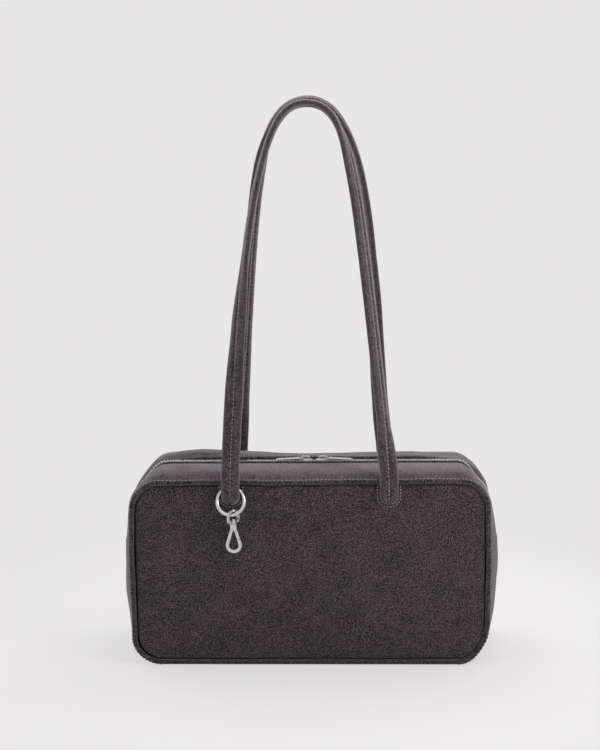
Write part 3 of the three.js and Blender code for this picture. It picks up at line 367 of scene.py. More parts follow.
def gusset_rise(s, y):
    """Height of the gusset's face over the seam outline: crowned between the seams, then straight on to the
    welt and round it."""
    _, z, nx, nz = seam_outline(s)
    depth = np.abs(y)
    halfway = np.maximum(0, np.sin(math.pi * z / BODY_HEIGHT)) ** SIDE_CROWN_POWER
    side_crown = SIDE_CROWN * nx**2 * halfway
    top_crown = TOP_CROWN * np.maximum(nz, 0) ** TOP_CROWN_POWER
    slope = (SIDE_ROLL_POWER * side_crown + TOP_ROLL_POWER * top_crown) / GUSSET_HALF
    tilt = np.sqrt(1 + slope**2)
    share = np.minimum(depth / GUSSET_HALF, 1)
    edge = slope * (WELT_Y - GUSSET_HALF) + EDGE_RADIUS * tilt - welt_depth(s)
    crowned = edge + side_crown * (1 - share**SIDE_ROLL_POWER) + top_crown * (1 - share**TOP_ROLL_POWER)
    straight = edge - slope * (depth - GUSSET_HALF)
    rolled = np.sqrt(np.maximum(EDGE_RADIUS**2 - (depth - WELT_Y) ** 2, 0)) - welt_depth(s)
    on_welt = np.where(depth > WELT_Y + EDGE_RADIUS * slope / tilt, rolled, straight)
    return np.where(depth < GUSSET_HALF, crowned, on_welt)


def gusset_points(s, y, over=0.0):
    """Points on the gusset, or some way over its face."""
    s, y, over = np.broadcast_arrays(np.asarray(s, float), y, over)
    x, z, nx, nz = seam_outline(s)
    n = gusset_rise(s, y) + over
    points = np.stack([x + nx * n, y, z + nz * n], -1)
    return points + give(points)


def stations(start, end, step=STATION_STEP):
    return np.linspace(start, end, max(2, round(abs(end - start) / step) + 1))


def cloth_piece(name, rings, map_points, finish, loop=False):
    """A closed piece from a row of section rings, with its cloth map in metres.

    Each ring closes on itself. A loop closes at its ends too, and any other row gets an end cap there."""
    rows, girth = rings.shape[:2]
    order = np.arange(rows * girth).reshape(rows, girth)
    faces, corners = [], []
    around = ((0, 0), (1, 0), (1, 1), (0, 1))
    for i in range(rows if loop else rows - 1):
        k = (i + 1) % rows
        for j in range(girth):
            m = (j + 1) % girth
            faces.append((order[i, j], order[k, j], order[k, m], order[i, m]))
            corners += [map_points[i + a, j + b] for a, b in around]
    if not loop:
        for i in (0, rows - 1):
            for j in range(girth // 2 - 1):
                picks = (j, j + 1, girth - 2 - j, girth - 1 - j)
                faces.append(tuple(order[i, p] for p in picks))
                corners += [map_points[i, p] for p in picks]
    mesh = bpy.data.meshes.new(name)
    mesh.from_pydata(rings.reshape(-1, 3).tolist(), [], [list(map(int, f)) for f in faces])
    layer = mesh.uv_layers.new(name="cloth")
    layer.data.foreach_set("uv", np.array(corners, np.float32).ravel())
    return finished(name, mesh, finish)


def finished(name, mesh, finish, sharp=60.0):
    """Turns a mesh's faces outwards, shades it and puts it in the scene."""
    work = bmesh.new()
    work.from_mesh(mesh)
    bmesh.ops.recalc_face_normals(work, faces=work.faces)
    work.to_mesh(mesh)
    work.free()
    mesh.shade_smooth()
    mesh.set_sharp_from_angle(angle=math.radians(sharp))
    mesh.materials.append(finish)
    piece = bpy.data.objects.new(name, mesh)
    bpy.context.scene.collection.objects.link(piece)
    return piece


def slab_map(outer, inner):
    """Closed rings, and their cloth map, from an outer and an inner grid of points and the outer's map."""
    (points, mapped), (points_in, mapped_in) = outer, inner
    rings = np.concatenate([points, points_in[:, ::-1]], 1)
    flat = np.concatenate([mapped, mapped_in[:, ::-1], mapped[:, :1]], 1)
    return rings, np.concatenate([flat, flat[:1]], 0)


def gusset_layer(name, s, y, finish, over=0.0, thickness=CLOTH, rise=None):
    """A layer of the gusset at lengths s and depths y, with its outer face some way over the drawn face."""
    lengths, depths = np.meshgrid(s, y, indexing="ij")
    lift = over + (0 if rise is None else rise(lengths, np.abs(depths)))
    outer = gusset_points(lengths, depths, lift)
    inner = gusset_points(lengths, depths, lift - thickness)
    steps = np.linalg.norm(np.diff(outer, axis=1), axis=2)
    mapped = np.stack([lengths, np.pad(np.cumsum(steps, 1), ((0, 0), (1, 0)))], -1)
    return cloth_piece(name, *slab_map((outer, mapped), (inner, mapped)), finish)


EDGE_ROW = np.linspace(GUSSET_HALF, EDGE_HALF, 12)[1:]
canvas = brushed_canvas("brushed_canvas")
gusset_canvas = brushed_canvas("gusset_canvas", lines=0.8)
base_gusset = gusset_layer(
    "base_gusset_cloth",
    stations(ZIP_HALF_RUN + JOIN_GAP / 2, 2 * HALF_SEAM - ZIP_HALF_RUN - JOIN_GAP / 2),
    np.concatenate([-EDGE_ROW[::-1], np.linspace(-GUSSET_HALF, GUSSET_HALF, 41), EDGE_ROW]),
    gusset_canvas,
)
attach(base_gusset, "bag")
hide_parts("base_gusset")

TOP_RUN = stations(-ZIP_HALF_RUN + JOIN_GAP / 2, ZIP_HALF_RUN - JOIN_GAP / 2)


def fold_rise(depth):
    """A strip's edge beside the zip is folded under, so it rounds off."""
    short = 1 - np.clip((depth - STRIP_EDGE) / FOLD_RADIUS, 0, 1)
    return (np.sqrt(1 - short**2) - 1) * FOLD_RADIUS * FOLD_SHARE


def front_zip_rise(s, depth):
    """The soft top lets the zip sink at both ends, beyond the sliders' way, and the strip goes with it."""
    return wander(s, ZIP_WANDER) * (1 - smoothstep(depth, *FRONT_ZIP_REACH))


def back_zip_rise(s, depth):
    return wander(s, ZIP_WANDER) * (1 - smoothstep(depth, *BACK_ZIP_REACH))


def front_strip_rise(s, depth):
    """The front strip's fold lies a little low, so the teeth show over it."""
    fold = FRONT_FOLD_DROP * np.exp(-(((depth - STRIP_EDGE) / FRONT_FOLD_REACH) ** 2))
    return fold_rise(depth) - fold + front_zip_rise(s, depth)


def back_strip_rise(s, depth):
    """The back strip's fold stands up beside the zip, and the strip puffs up towards both corners."""
    fold = BACK_FOLD_RISE * np.exp(-(((depth - STRIP_EDGE) / BACK_FOLD_REACH) ** 2))
    fold = fold * (1 - BACK_FOLD_TURN * smoothstep(np.abs(s), *BACK_FOLD_ENDS))
    between = smoothstep(depth, STRIP_EDGE, PUFF_FROM) * smoothstep(-depth, -GUSSET_HALF, -PUFF_TO)
    return fold_rise(depth) + fold + back_zip_rise(s, depth) + wander(s, BACK_PUFF) * between


STRIP_RISES = {"front": front_strip_rise, "back": back_strip_rise}
lined_canvas = brushed_canvas("lined_canvas", lines=0.8, plain_from=0.036)
for side, facing in SIDES:
    spread = np.linspace(0, 1, 22) ** 1.35
    depths = np.append(STRIP_EDGE + (GUSSET_HALF - STRIP_EDGE) * spread, EDGE_ROW)
    rise = STRIP_RISES[side]
    strip = gusset_layer(f"top_strip_{side}_cloth", TOP_RUN, facing * depths, lined_canvas, rise=rise)
    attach(strip, "bag")
    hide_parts(f"top_strip_{side}")


# The panels: crowned fronts of the same canvas, cut with round corners. Their rims turn down into the
# seam, so a dark groove runs round each panel beside its welt.
PANEL_TUCK = 0.0032
PANEL_CROWN = 0.0025
PANEL_CROWN_POWER = 3
PANEL_MID_HEIGHT = BODY_HEIGHT / 2
GROOVE_DEPTH = 0.0075
GROOVE_WIDTH = 0.0022
FACE_DROP = 0.001
ROLL_DEPTH = 0.0015
ROLL_WIDTH = 0.0085
ROLL_HOLD = (0.012, 0.034)
CROWDING = 0.55


def rim_distance(x, z):
    """Distance inwards from the panel's cut edge."""
    radius = CORNER_RADIUS - PANEL_TUCK
    qx = np.abs(x) - (HALF_WIDTH - PANEL_TUCK - radius)
    qz = np.abs(z - PANEL_MID_HEIGHT) - (PANEL_MID_HEIGHT - PANEL_TUCK - radius)
    return radius - np.hypot(np.maximum(qx, 0), np.maximum(qz, 0)) - np.minimum(np.maximum(qx, qz), 0)


def panel_face(x, z):
    """Distance of a panel's face from the bag's middle plane, without its dents. It rolls off towards the
    rim, but not under the handle ends."""
    flat_x, flat_z = HALF_WIDTH - WELT_THICKNESS, PANEL_MID_HEIGHT - WELT_THICKNESS
    across = np.minimum(1, np.abs(x) / flat_x) ** PANEL_CROWN_POWER
    up = np.minimum(1, np.abs(z - PANEL_MID_HEIGHT) / flat_z) ** PANEL_CROWN_POWER
    roll = ROLL_DEPTH * np.exp(-np.maximum(rim_distance(x, z), 0) / ROLL_WIDTH)
    roll = roll * smoothstep(np.abs(np.abs(x) - HANDLE_X), *ROLL_HOLD)
    return HALF_DEPTH - FACE_DROP + PANEL_CROWN * (1 - across) * (1 - up) - roll


def crowded(count):
    """Shares from -1 to 1 that lie closer together towards both ends."""
    t = np.linspace(-1, 1, count)
    return np.sign(t) * (1 - (1 - np.abs(t)) ** (1 / CROWDING))


def panel_layer(name, facing, finish, depth=0.0, thickness=CLOTH, columns=150, rows=96):
    radius = CORNER_RADIUS - PANEL_TUCK
    half_height = PANEL_MID_HEIGHT - PANEL_TUCK
    z = PANEL_MID_HEIGHT + half_height * crowded(rows)
    past = np.maximum(0, np.abs(z - PANEL_MID_HEIGHT) - (half_height - radius))
    half = HALF_WIDTH - PANEL_TUCK - radius + np.sqrt(np.maximum(radius**2 - past**2, 0))
    x = half[:, None] * crowded(columns)[None, :]
    z = np.broadcast_to(z[:, None], x.shape)
    rim = rim_distance(x, z)
    face = panel_face(x, z) - depth - GROOVE_DEPTH * np.exp(-((rim / GROOVE_WIDTH) ** 4))

    def layer(y):
        points = np.stack([x, facing * y, z], -1)
        return points + give(points), np.stack([x, z], -1)

    return cloth_piece(name, *slab_map(layer(face), layer(face - thickness)), finish)


for side, facing in SIDES:
    panel = panel_layer(f"{side}_panel_cloth", facing, canvas)
    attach(panel, "bag")
    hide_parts(f"{side}_panel")


# The welts: the seam allowance round each panel, rolled over and topstitched, stands up as a soft edge.
# It is the same canvas, rubbed a little paler along its crest.
WELT_SIDES = 14
WELT_STEP = 0.0022
WELT_WAVES = 150
WELT_UNEVEN = 0.04
CREST_GIRTH = 2 * math.pi * WELT_RADIUS


def even_map(along, girth):
    """The cloth map of a piece with even marks along it and round it."""
    return np.stack(np.meshgrid(along, girth, indexing="ij"), -1)


welt_canvas = brushed_canvas("rolled_canvas", crest=0.012)
for side, facing in SIDES:
    lengths = np.linspace(-HALF_SEAM, HALF_SEAM, round(2 * HALF_SEAM / WELT_STEP), endpoint=False)
    x, z, nx, nz = seam_outline(lengths)
    turns = np.linspace(0, 2 * math.pi, WELT_SIDES, endpoint=False)
    uneven = np.array([noise.noise((s * WELT_WAVES, facing * 3.0, 0)) for s in lengths])
    radius = WELT_RADIUS * (1 + WELT_UNEVEN * uneven)[:, None]
    n = radius * np.sin(turns)[None, :] - welt_depth(lengths)[:, None]
    y = facing * (WELT_Y + radius * np.cos(turns)[None, :])
    points = np.stack([x[:, None] + nx[:, None] * n, y, z[:, None] + nz[:, None] * n], -1)
    points[..., 2] = np.maximum(points[..., 2], 0)
    girth = np.linspace(0, CREST_GIRTH, WELT_SIDES + 1)
    along = np.linspace(-HALF_SEAM, HALF_SEAM, len(lengths) + 1)
    mapped = even_map(along, girth)
    welt = cloth_piece(f"{side}_welt_cloth", points + give(points), mapped, welt_canvas, loop=True)
    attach(welt, "bag")
    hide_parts(f"{side}_welt")


# The topstitching: a grey twisted thread in rows beside both welts, and a dark one along the folded
# edges at the zip and across each side where the zip ends. Each stitch dips into the cloth at both ends.
STITCH_PITCH = 0.0034
STITCH_LENGTH = 0.0025
THREAD_RADIUS = 0.00038
GREY_THREAD_COLOUR = srgb(150, 141, 146)
DARK_THREAD_COLOUR = srgb(66, 60, 63)
WELT_STITCH_Y = WELT_Y + 0.0007
FOLD_STITCH_Y = STRIP_EDGE + 0.0024
END_STITCH_DROP = 0.0035
ZIP_STITCH_MARGIN = 0.002


def thread_finish(name, colour):
    made, wire, sockets = new_finish(name)
    place = wire.node("TexCoord", None, None, 3)
    ply = wire.node("TexWave", {"bands_direction": "DIAGONAL"}, {"Vector": place, "Scale": 900.0})
    shade = wire.noise(place, 300.0)
    dark = tuple(c * 0.55 for c in colour)
    link((ply * 0.5 + shade * 0.5).tint((*dark, 1), (*colour, 1)), sockets["Base Color"])
    link(wire.node("Bump", None, {"Strength": 0.4, "Distance": 0.0001, "Height": ply}), sockets["Normal"])
    link(0.62 + shade * 0.2, sockets["Roughness"])
    return made


def stitch_mesh(places, ways, outs, length=STITCH_LENGTH):
    """Points and faces of one small arched capsule of thread at each place."""
    shares = np.array([-1, -0.8, -0.3, 0.3, 0.8, 1])
    swell = np.array([0.35, 0.9, 1, 1, 0.9, 0.35])
    arch = np.array([-1.5, -0.4, 0.25, 0.25, -0.4, -1.5]) * THREAD_RADIUS
    turns = np.linspace(0, 2 * math.pi, 6, endpoint=False)
    ways, outs = (v / np.linalg.norm(v, axis=-1, keepdims=True) for v in (ways, outs))
    wide = np.cross(ways, outs)
    spine = places[:, None] + ways[:, None] * (shares * length / 2)[None, :, None]
    spine = spine + outs[:, None] * arch[None, :, None]
    ring = (
        wide[:, None, None] * (np.cos(turns)[None, None, :, None])
        + outs[:, None, None] * (np.sin(turns)[None, None, :, None])
    ) * (swell * THREAD_RADIUS)[None, :, None, None]
    points = spine[:, :, None] + ring
    count, rows, sides = points.shape[:3]
    faces = []
    for base in range(0, count * rows * sides, rows * sides):
        for i in range(rows - 1):
            for j in range(sides):
                a, b = base + i * sides + j, base + i * sides + (j + 1) % sides
                faces.append((a, b, b + sides, a + sides))
        faces.append(tuple(range(base, base + sides))[::-1])
        faces.append(tuple(range(base + (rows - 1) * sides, base + rows * sides)))
    return points.reshape(-1, 3), faces


def stitch_row(name, surface, start, end, finish, pitch=STITCH_PITCH, length=STITCH_LENGTH):
    """A row of stitches on a surface: a function of lengths along the row and of heights over the cloth."""
    count = max(2, round((end - start) / pitch))
    middles = start + (np.arange(count) + 0.5) * (end - start) / count
    small = 0.0004
    places = surface(middles, 0.0)
    ways = surface(middles + small, 0.0) - surface(middles - small, 0.0)
    outs = surface(middles, small) - surface(middles, -small)
    points, faces = stitch_mesh(places, ways, outs, length)
    mesh = bpy.data.meshes.new(name)
    mesh.from_pydata(points.tolist(), [], faces)
    row = finished(name, mesh, finish)
    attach(row, "bag")


grey_thread = thread_finish("grey_thread", GREY_THREAD_COLOUR)
dark_thread = thread_finish("dark_thread", DARK_THREAD_COLOUR)
for side, facing in SIDES:
    stitch_row(
        f"{side}_welt_stitches",
        lambda s, over, y=facing * WELT_STITCH_Y: gusset_points(s, y, over),
        -HALF_SEAM + CORNER_X,
        HALF_SEAM - CORNER_X,
        grey_thread,
    )
    rise = STRIP_RISES[side]
    stitch_row(
        f"{side}_zip_stitches",
        lambda s, over, y=facing * FOLD_STITCH_Y, rise=rise: gusset_points(s, y, over + rise(s, abs(y))),
        TOP_RUN[0] + ZIP_STITCH_MARGIN,
        TOP_RUN[-1] - ZIP_STITCH_MARGIN,
        dark_thread,
    )
for hand, sign in HANDS:
    stitch_row(
        f"zip_end_stitches_{hand}",
        lambda y, over, s=sign * (ZIP_HALF_RUN + END_STITCH_DROP): gusset_points(s + 0 * y, y, over),
        -GUSSET_HALF,
        GUSSET_HALF,
        dark_thread,
    )


# The inside: a plain woven lining behind the canvas, tape over the raw seam edges, cloth patches behind
# the handle ends, and a loose board that keeps the base flat.
LINING_DEPTH = CLOTH + JOIN_GAP
LINING = 0.0005
LINING_COLOUR = srgb(47, 44, 46)
LINING_PITCH = 0.0006
LINING_STEP = 0.008
BOARD_COLOUR = srgb(109, 98, 89)
BINDING_LOW, BINDING_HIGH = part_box("front_seam_binding")
BINDING_RIM = HALF_WIDTH - BINDING_HIGH.x
BINDING_Y = (BINDING_LOW.y + BINDING_HIGH.y) / 2
BINDING_HALF = (BINDING_HIGH.y - BINDING_LOW.y) / 2
BINDING_DEPTH = 0.006
BINDING_GIRTH = 0.015
BINDING_PROFILE = ((0, -1), (0.2, -1.0), (0.85, -1.0), (1, -0.5), (1, 0.5), (0.85, 1), (0.2, 1), (0, 1))
BINDING_STATIONS = 220
PATCH = 0.0012
PATCH_DEPTH = LINING_DEPTH + LINING + JOIN_GAP


def plain_lining():
    made, wire, sockets = new_finish("plain_lining")
    cloth_map = wire.node("UVMap", {"uv_map": "cloth"})
    along = wire.node("SeparateXYZ", None, {0: cloth_map}, 0)
    across = wire.node("SeparateXYZ", None, {0: cloth_map}, 1)
    warp = (along * (math.pi / LINING_PITCH)).sin()
    weft = (across * (math.pi / LINING_PITCH)).sin()
    weave = warp * weft * 0.5 + 0.5
    dark = tuple(c * 0.7 for c in LINING_COLOUR)
    link(weave.tint((*dark, 1), (*LINING_COLOUR, 1)), sockets["Base Color"])
    link(0.6 + weave * 0.2, sockets["Roughness"])
    link(wire.node("Bump", None, {"Strength": 0.3, "Distance": 0.0002, "Height": weave}), sockets["Normal"])
    return made


def grey_board():
    made, wire, sockets = new_finish("grey_board")
    place = wire.node("TexCoord", None, None, 3)
    pulp = wire.noise(place, 700.0, 4.0, 0.7)
    dark = tuple(c * 0.6 for c in BOARD_COLOUR)
    link(pulp.step(0.3, 0.7).tint((*dark, 1), (*BOARD_COLOUR, 1)), sockets["Base Color"])
    link(0.85 + pulp * 0.1, sockets["Roughness"])
    link(wire.node("Bump", None, {"Strength": 0.3, "Distance": 0.0002, "Height": pulp}), sockets["Normal"])
    return made


lining = plain_lining()
base_lining = gusset_layer(
    "base_lining_cloth",
    stations(ZIP_HALF_RUN + JOIN_GAP, 2 * HALF_SEAM - ZIP_HALF_RUN - JOIN_GAP, LINING_STEP),
    np.linspace(-GUSSET_HALF, GUSSET_HALF, 17),
    lining,
    -LINING_DEPTH,
    LINING,
)
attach(base_lining, "bag")
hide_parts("base_lining")


def patch_layer(x, z, facing, below):
    """Points of a patch some way behind the panel's face, and their cloth map."""
    return np.stack([x, facing * (panel_face(x, z) - below), z], -1), np.stack([x, z], -1)


for side, facing in SIDES:
    inner_panel = panel_layer(f"{side}_lining_cloth", facing, lining, LINING_DEPTH, LINING, 50, 34)
    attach(inner_panel, "bag")
    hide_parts(f"{side}_lining")
    lengths = np.linspace(-HALF_SEAM, HALF_SEAM, BINDING_STATIONS, endpoint=False)
    x, z, nx, nz = seam_outline(lengths)
    inward = np.array([-BINDING_RIM - BINDING_DEPTH * share for share, _ in BINDING_PROFILE])
    y = np.array([-facing * (BINDING_Y + BINDING_HALF * share) for _, share in BINDING_PROFILE])
    across = np.broadcast_to(y, (len(lengths), len(y)))
    points = np.stack(
        [x[:, None] + nx[:, None] * inward, across, z[:, None] + nz[:, None] * inward],
        -1,
    )
    along = np.linspace(0, 2 * HALF_SEAM, len(lengths) + 1)
    mapped = even_map(along, np.linspace(0, BINDING_GIRTH, len(y) + 1))
    binding = cloth_piece(f"{side}_seam_tape", points, mapped, lining, loop=True)
    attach(binding, "bag")
    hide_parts(f"{side}_seam_binding")
    for hand, _ in HANDS:
        low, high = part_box(f"{side}_handle_patch_{hand}")
        x, z = np.meshgrid(np.linspace(low.x, high.x, 9), np.linspace(low.z, high.z, 7))
        outer = patch_layer(x, z, facing, PATCH_DEPTH)
        inner = patch_layer(x, z, facing, PATCH_DEPTH + PATCH)
        patch = cloth_piece(f"{side}_handle_patch_{hand}_cloth", *slab_map(outer, inner), canvas)
        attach(patch, "bag")
        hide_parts(f"{side}_handle_patch_{hand}")

frame["nodes"]["base_board"].data.materials.clear()
frame["nodes"]["base_board"].data.materials.append(grey_board())


# The zip: two woven tapes sewn under the folded edges, with a row of clamped nickel teeth on each.
# The teeth of one row sit between those of the other. A bent metal stop closes each end.
TAPE_LOW, TAPE_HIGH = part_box("zip_tape_back")
TAPE_THICKNESS = 0.0007
TAPE_DEPTH = CLOTH + JOIN_GAP
TAPE_DIP = 0.0015
TAPE_COLOUR = srgb(34, 31, 33)
RIB_PITCH = 0.0009
ZIGZAG_WIDTH = 0.002
ZIGZAG_SLANT = 0.0012
CHAIN_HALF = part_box("zip_teeth_back")[1].y
CHAIN_HEIGHT = 0.0024
CHAIN_LIFT = 0.0008
CHAIN_DEPTH = TAPE_DEPTH + TAPE_THICKNESS / 2 - CHAIN_LIFT
CHAIN_MARGIN = 0.0075
TOOTH_PITCH = 0.0026
# Half a tooth seen from above, from its heel on the tape to its rounded head, as shares of its pitch and
# reach. Then its levels, each with the size that its rounded edges leave there.
HALF_TOOTH = [(-0.30, 1.0), (-0.27, 0.62), (-0.15, 0.42), (-0.26, 0.16), (-0.20, -0.10), (0.0, -0.18)]
TOOTH_LEVELS = ((-1.0, 0.85), (-0.72, 1.0), (0.72, 1.0), (1.0, 0.82))
ROUNDED_REACH = 0.96
NICKEL = srgb(214, 211, 210)


def woven_tape():
    made, wire, sockets = new_finish("woven_tape")
    cloth_map = wire.node("UVMap", {"uv_map": "cloth"})
    along = wire.node("SeparateXYZ", None, {0: cloth_map}, 0)
    across = wire.node("SeparateXYZ", None, {0: cloth_map}, 1)
    zigzag = (across * (math.pi / ZIGZAG_WIDTH)).sin().abs() * ZIGZAG_SLANT
    ribs = ((along + zigzag) * (2 * math.pi / RIB_PITCH)).sin() * 0.5 + 0.5
    dark = tuple(c * 0.5 for c in TAPE_COLOUR)
    link(ribs.tint((*dark, 1), (*TAPE_COLOUR, 1)), sockets["Base Color"])
    link(0.75 + ribs * 0.15, sockets["Roughness"])
    link(wire.node("Bump", None, {"Strength": 0.4, "Distance": 0.0002, "Height": ribs}), sockets["Normal"])
    return made


def plated_nickel(name, worn=0.5):
    """Nickel plate, satin bright, with fine rubbed scratches and small dull spots."""
    made, wire, sockets = new_finish(name)
    place = wire.node("TexCoord", None, None, 3)
    smear = wire.noise(place, 180.0, 3.0, 0.6)
    rubs = wire.noise(place, 900.0, 2.0, 0.6, (1, 1, 6))
    spots = wire.noise(place, 520.0, 1.0).step(0.66, 0.74)
    dull = tuple(c * 0.62 for c in NICKEL)
    link((spots * worn + (1 - smear) * 0.25).tint((*NICKEL, 1), (*dull, 1)), sockets["Base Color"])
    link(0.20 + smear * 0.16 + spots * 0.15 * worn, sockets["Roughness"])
    link(wire.node("Bump", None, {"Strength": 0.12, "Distance": 0.0001, "Height": rubs}), sockets["Normal"])
    sockets["Metallic"].default_value = 1.0
    return made


tape_finish = woven_tape()
nickel = plated_nickel("plated_nickel")


def front_tape_rise(s, depth):
    """The front tape dips under the strip's low fold."""
    dip = FRONT_FOLD_DROP * smoothstep(depth, STRIP_EDGE - TAPE_DIP, STRIP_EDGE)
    return front_zip_rise(s, depth) - dip


for side, facing in SIDES:
    tape = gusset_layer(
        f"zip_tape_{side}_cloth",
        TOP_RUN,
        facing * np.linspace(TAPE_LOW.y, TAPE_HIGH.y, 8),
        tape_finish,
        -TAPE_DEPTH,
        TAPE_THICKNESS,
        front_tape_rise if facing < 0 else back_zip_rise,
    )
    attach(tape, "bag")
    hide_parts(f"zip_tape_{side}")


def teeth(name, facing):
    outline = HALF_TOOTH + [(-u, v) for u, v in HALF_TOOTH[-2::-1]]
    size = len(outline)
    last = len(TOOTH_LEVELS) - 1
    count = int((TOP_RUN[-1] - TOP_RUN[0] - CHAIN_MARGIN) / TOOTH_PITCH)
    points, faces = [], []
    for i in range(count):
        middle = (i - (count - 1) / 2) * TOOTH_PITCH + facing * TOOTH_PITCH / 4
        base = len(points)
        for level, shrink in TOOTH_LEVELS:
            reach = ROUNDED_REACH if shrink < 1 else 1.0
            for u, v in outline:
                s = middle + u * shrink * TOOTH_PITCH
                y = facing * (CHAIN_HALF * 0.5 + (v - 0.5) * CHAIN_HALF * reach)
                x, z, nx, nz = seam_outline(s)
                n = gusset_rise(s, 0.0) + wander(s, ZIP_WANDER) - CHAIN_DEPTH + level * CHAIN_HEIGHT / 2
                points.append((float(x + nx * n), y, float(z + nz * n)))
        for level in range(last):
            for j in range(size):
                k = (j + 1) % size
                a = base + level * size
                faces.append((a + j, a + k, a + size + k, a + size + j))
        faces.append(tuple(range(base, base + size))[::-1])
        faces.append(tuple(range(base + last * size, base + last * size + size)))
    mesh = bpy.data.meshes.new(name)
    mesh.from_pydata(points, [], faces)
    return finished(name, mesh, nickel, 35.0)


for side, facing in SIDES:
    row = teeth(f"zip_teeth_{side}_metal", facing)
    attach(row, "bag")
    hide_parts(f"zip_teeth_{side}")


def softened(node, finish, radius, body, segments=3):
    """A node's own shape with its edges rounded over, as a cast or tumbled metal piece has them."""
    work = bmesh.new()
    work.from_mesh(frame["nodes"][node].data)
    bmesh.ops.remove_doubles(work, verts=work.verts, dist=1e-6)
    bmesh.ops.dissolve_limit(work, angle_limit=math.radians(1.0), verts=work.verts, edges=work.edges)
    mesh = bpy.data.meshes.new(f"{node}_metal")
    work.to_mesh(mesh)
    work.free()
    piece = finished(f"{node}_metal", mesh, finish, 40.0)
    bevel = piece.modifiers.new("rounded_edges", "BEVEL")
    bevel.width = radius
    bevel.segments = segments
    bevel.limit_method = "ANGLE"
    bevel.angle_limit = math.radians(38)
    bevel.harden_normals = True
    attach(piece, body)
    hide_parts(node)


for hand, _ in HANDS:
    softened(f"zip_stop_{hand}", nickel, 0.0005, "bag")


# The sliders and their pulls: nickel castings, nose to nose on top of the bag. Each pull hangs by its
# end bar in the slider's bridge.
for hand, _ in HANDS:
    softened(f"zip_slider_{hand}", nickel, 0.00035, f"slider_{hand}")
    softened(f"zip_pull_{hand}", nickel, 0.00035, f"pull_{hand}")


# The handles: two long straps, each a tube of canvas over a soft core, closed by a lapped seam with one row
# of stitches down the middle. The round ends are sewn flat to the panels.
STRAP_HALF = (STRAP_HIGH.x - STRAP_LOW.x) / 2
STRAP_HALF_THICKNESS = 0.003
STRAP_TIP = STRAP_LOW.z
TIP_FLAT = 0.001
TIP_RADIUS = STRAP_HALF - TIP_FLAT
TIP_GAP = 0.0004
SEWN_LENGTH = 0.008
HINGE = {j["child"]: Vector(j["pos_m"]) for j in frame["joints"] if j["child"].endswith("_loop")}
APEX_Y = STRAP_HALF + 2 * JOIN_GAP
ARCH_LEGS = {
    "front": ((0.21, 1.0, 0.29), (0.40, 0.77, 0.59)),
    "back": ((0.29, 0.74, 0.72), (0.235, 0.305, 1.0)),
}
TWIST_HEIGHTS = (0.005, 0.060, 0.130, 0.200, 0.265, 0.318)
LEG_TWISTS = {
    "front": ((0, 0, 41, 76, 80, 90), (0, 55, 55, 55, 58, 90)),
    "back": ((0, 41, 54, 55, 55, 90), (0, 27, 40, 66, 73, 90)),
}
STRAP_STEP = 0.0015
ARCH_STEPS = 900
ARCH_STATIONS = 260
EASE_REACH = 5
RING_WIRE = 0.0035
RING_PLAY = 0.0019
RING_TOP_DROP = 0.007
RING_SLOPE_END = 1.6
STRAP_SIDES = 56
STRAP_GIRTH = 0.038
STRAP_WAVES = 60
STRAP_UNEVEN = 0.05
LOBE_WIDE = 0.75
LOBE_THICK = 0.8
SEAM_GROOVE = 0.0011
GROOVE_HALF = 0.0012
LAP_RISE = 0.0004
LAP_EDGE = (0.0002, 0.0010)
LAP_BACK = (-0.0050, -0.0012)
BEND_START = 0.004
BEND_END = 0.012
BIAS = 0.6
THREAD_COLOUR = srgb(184, 175, 180)
STITCH_SINK = 0.3
STITCH_MARGIN = 0.004

# The straps' canvas is a lighter copy of the canvas: pale paints extra light onto the straps.
bias_canvas = brushed_canvas("bias_canvas", lines=1.1, pale=0.06, sheen=0.85)
thread = thread_finish("twisted_thread", THREAD_COLOUR)


def end_line(x, facing, hinge, over_ring):
    """Centre line of a sewn end, from its tip up to the bend."""
    z = stations(STRAP_TIP + TIP_GAP, hinge.z - BEND_START, STRAP_STEP)
    ring_top = BODY_HEIGHT - RING_TOP_DROP
    sewn = panel_face(np.full_like(z, x), z) + JOIN_GAP + STRAP_HALF_THICKNESS
    middle = sewn
    if over_ring:
        ring_y = panel_face(x, ring_top) + JOIN_GAP + RING_WIRE + RING_PLAY + STRAP_HALF_THICKNESS
        low = STRAP_TIP + SEWN_LENGTH - RING_WIRE
        high = ring_top - RING_SLOPE_END * RING_WIRE
        middle = sewn + (ring_y - sewn) * smoothstep(z, low, high)
    y = middle + (abs(hinge.y) - middle) * smoothstep(z, ring_top, hinge.z)
    return np.stack([np.full_like(z, x), facing * y, z], -1)


def arch_line(facing, hinge, apex, legs):
    """Centre line of the free loop in its leaning plane, from the left bend over the top to the right one,
    and the direction that the plane faces."""
    lean = math.atan((abs(hinge.y) - APEX_Y) / (apex - hinge.z))
    length = (apex - hinge.z) / math.cos(lean)
    t = np.linspace(0, 1, ARCH_STEPS)[:, None]
    halves = []
    for sign, (drawn_in, straight, breadth) in zip((-1, 1), legs):
        foot = np.array([sign * HANDLE_X, 0])
        pull = np.array([sign * HANDLE_X * (1 - drawn_in), straight * length])
        shoulder = np.array([sign * HANDLE_X * breadth, length])
        top = np.array([0, length])
        rising = foot * (1 - t) ** 3 + pull * 3 * t * (1 - t) ** 2
        halves.append(rising + shoulder * 3 * t**2 * (1 - t) + top * t**3)
    flat = np.concatenate([halves[0], halves[1][-2::-1]])
    up = flat[:, 1]
    y, z = hinge.y - facing * math.sin(lean) * up, hinge.z + math.cos(lean) * up
    line = np.stack([flat[:, 0], y, z], -1)
    face = np.array([0, facing * math.cos(lean), math.sin(lean)])
    run = np.concatenate([[0], np.cumsum(np.linalg.norm(np.diff(line, axis=0), axis=1))])
    even = np.linspace(0, run[-1], ARCH_STATIONS)
    return np.stack([np.interp(even, run, line[:, i]) for i in range(3)], -1), face


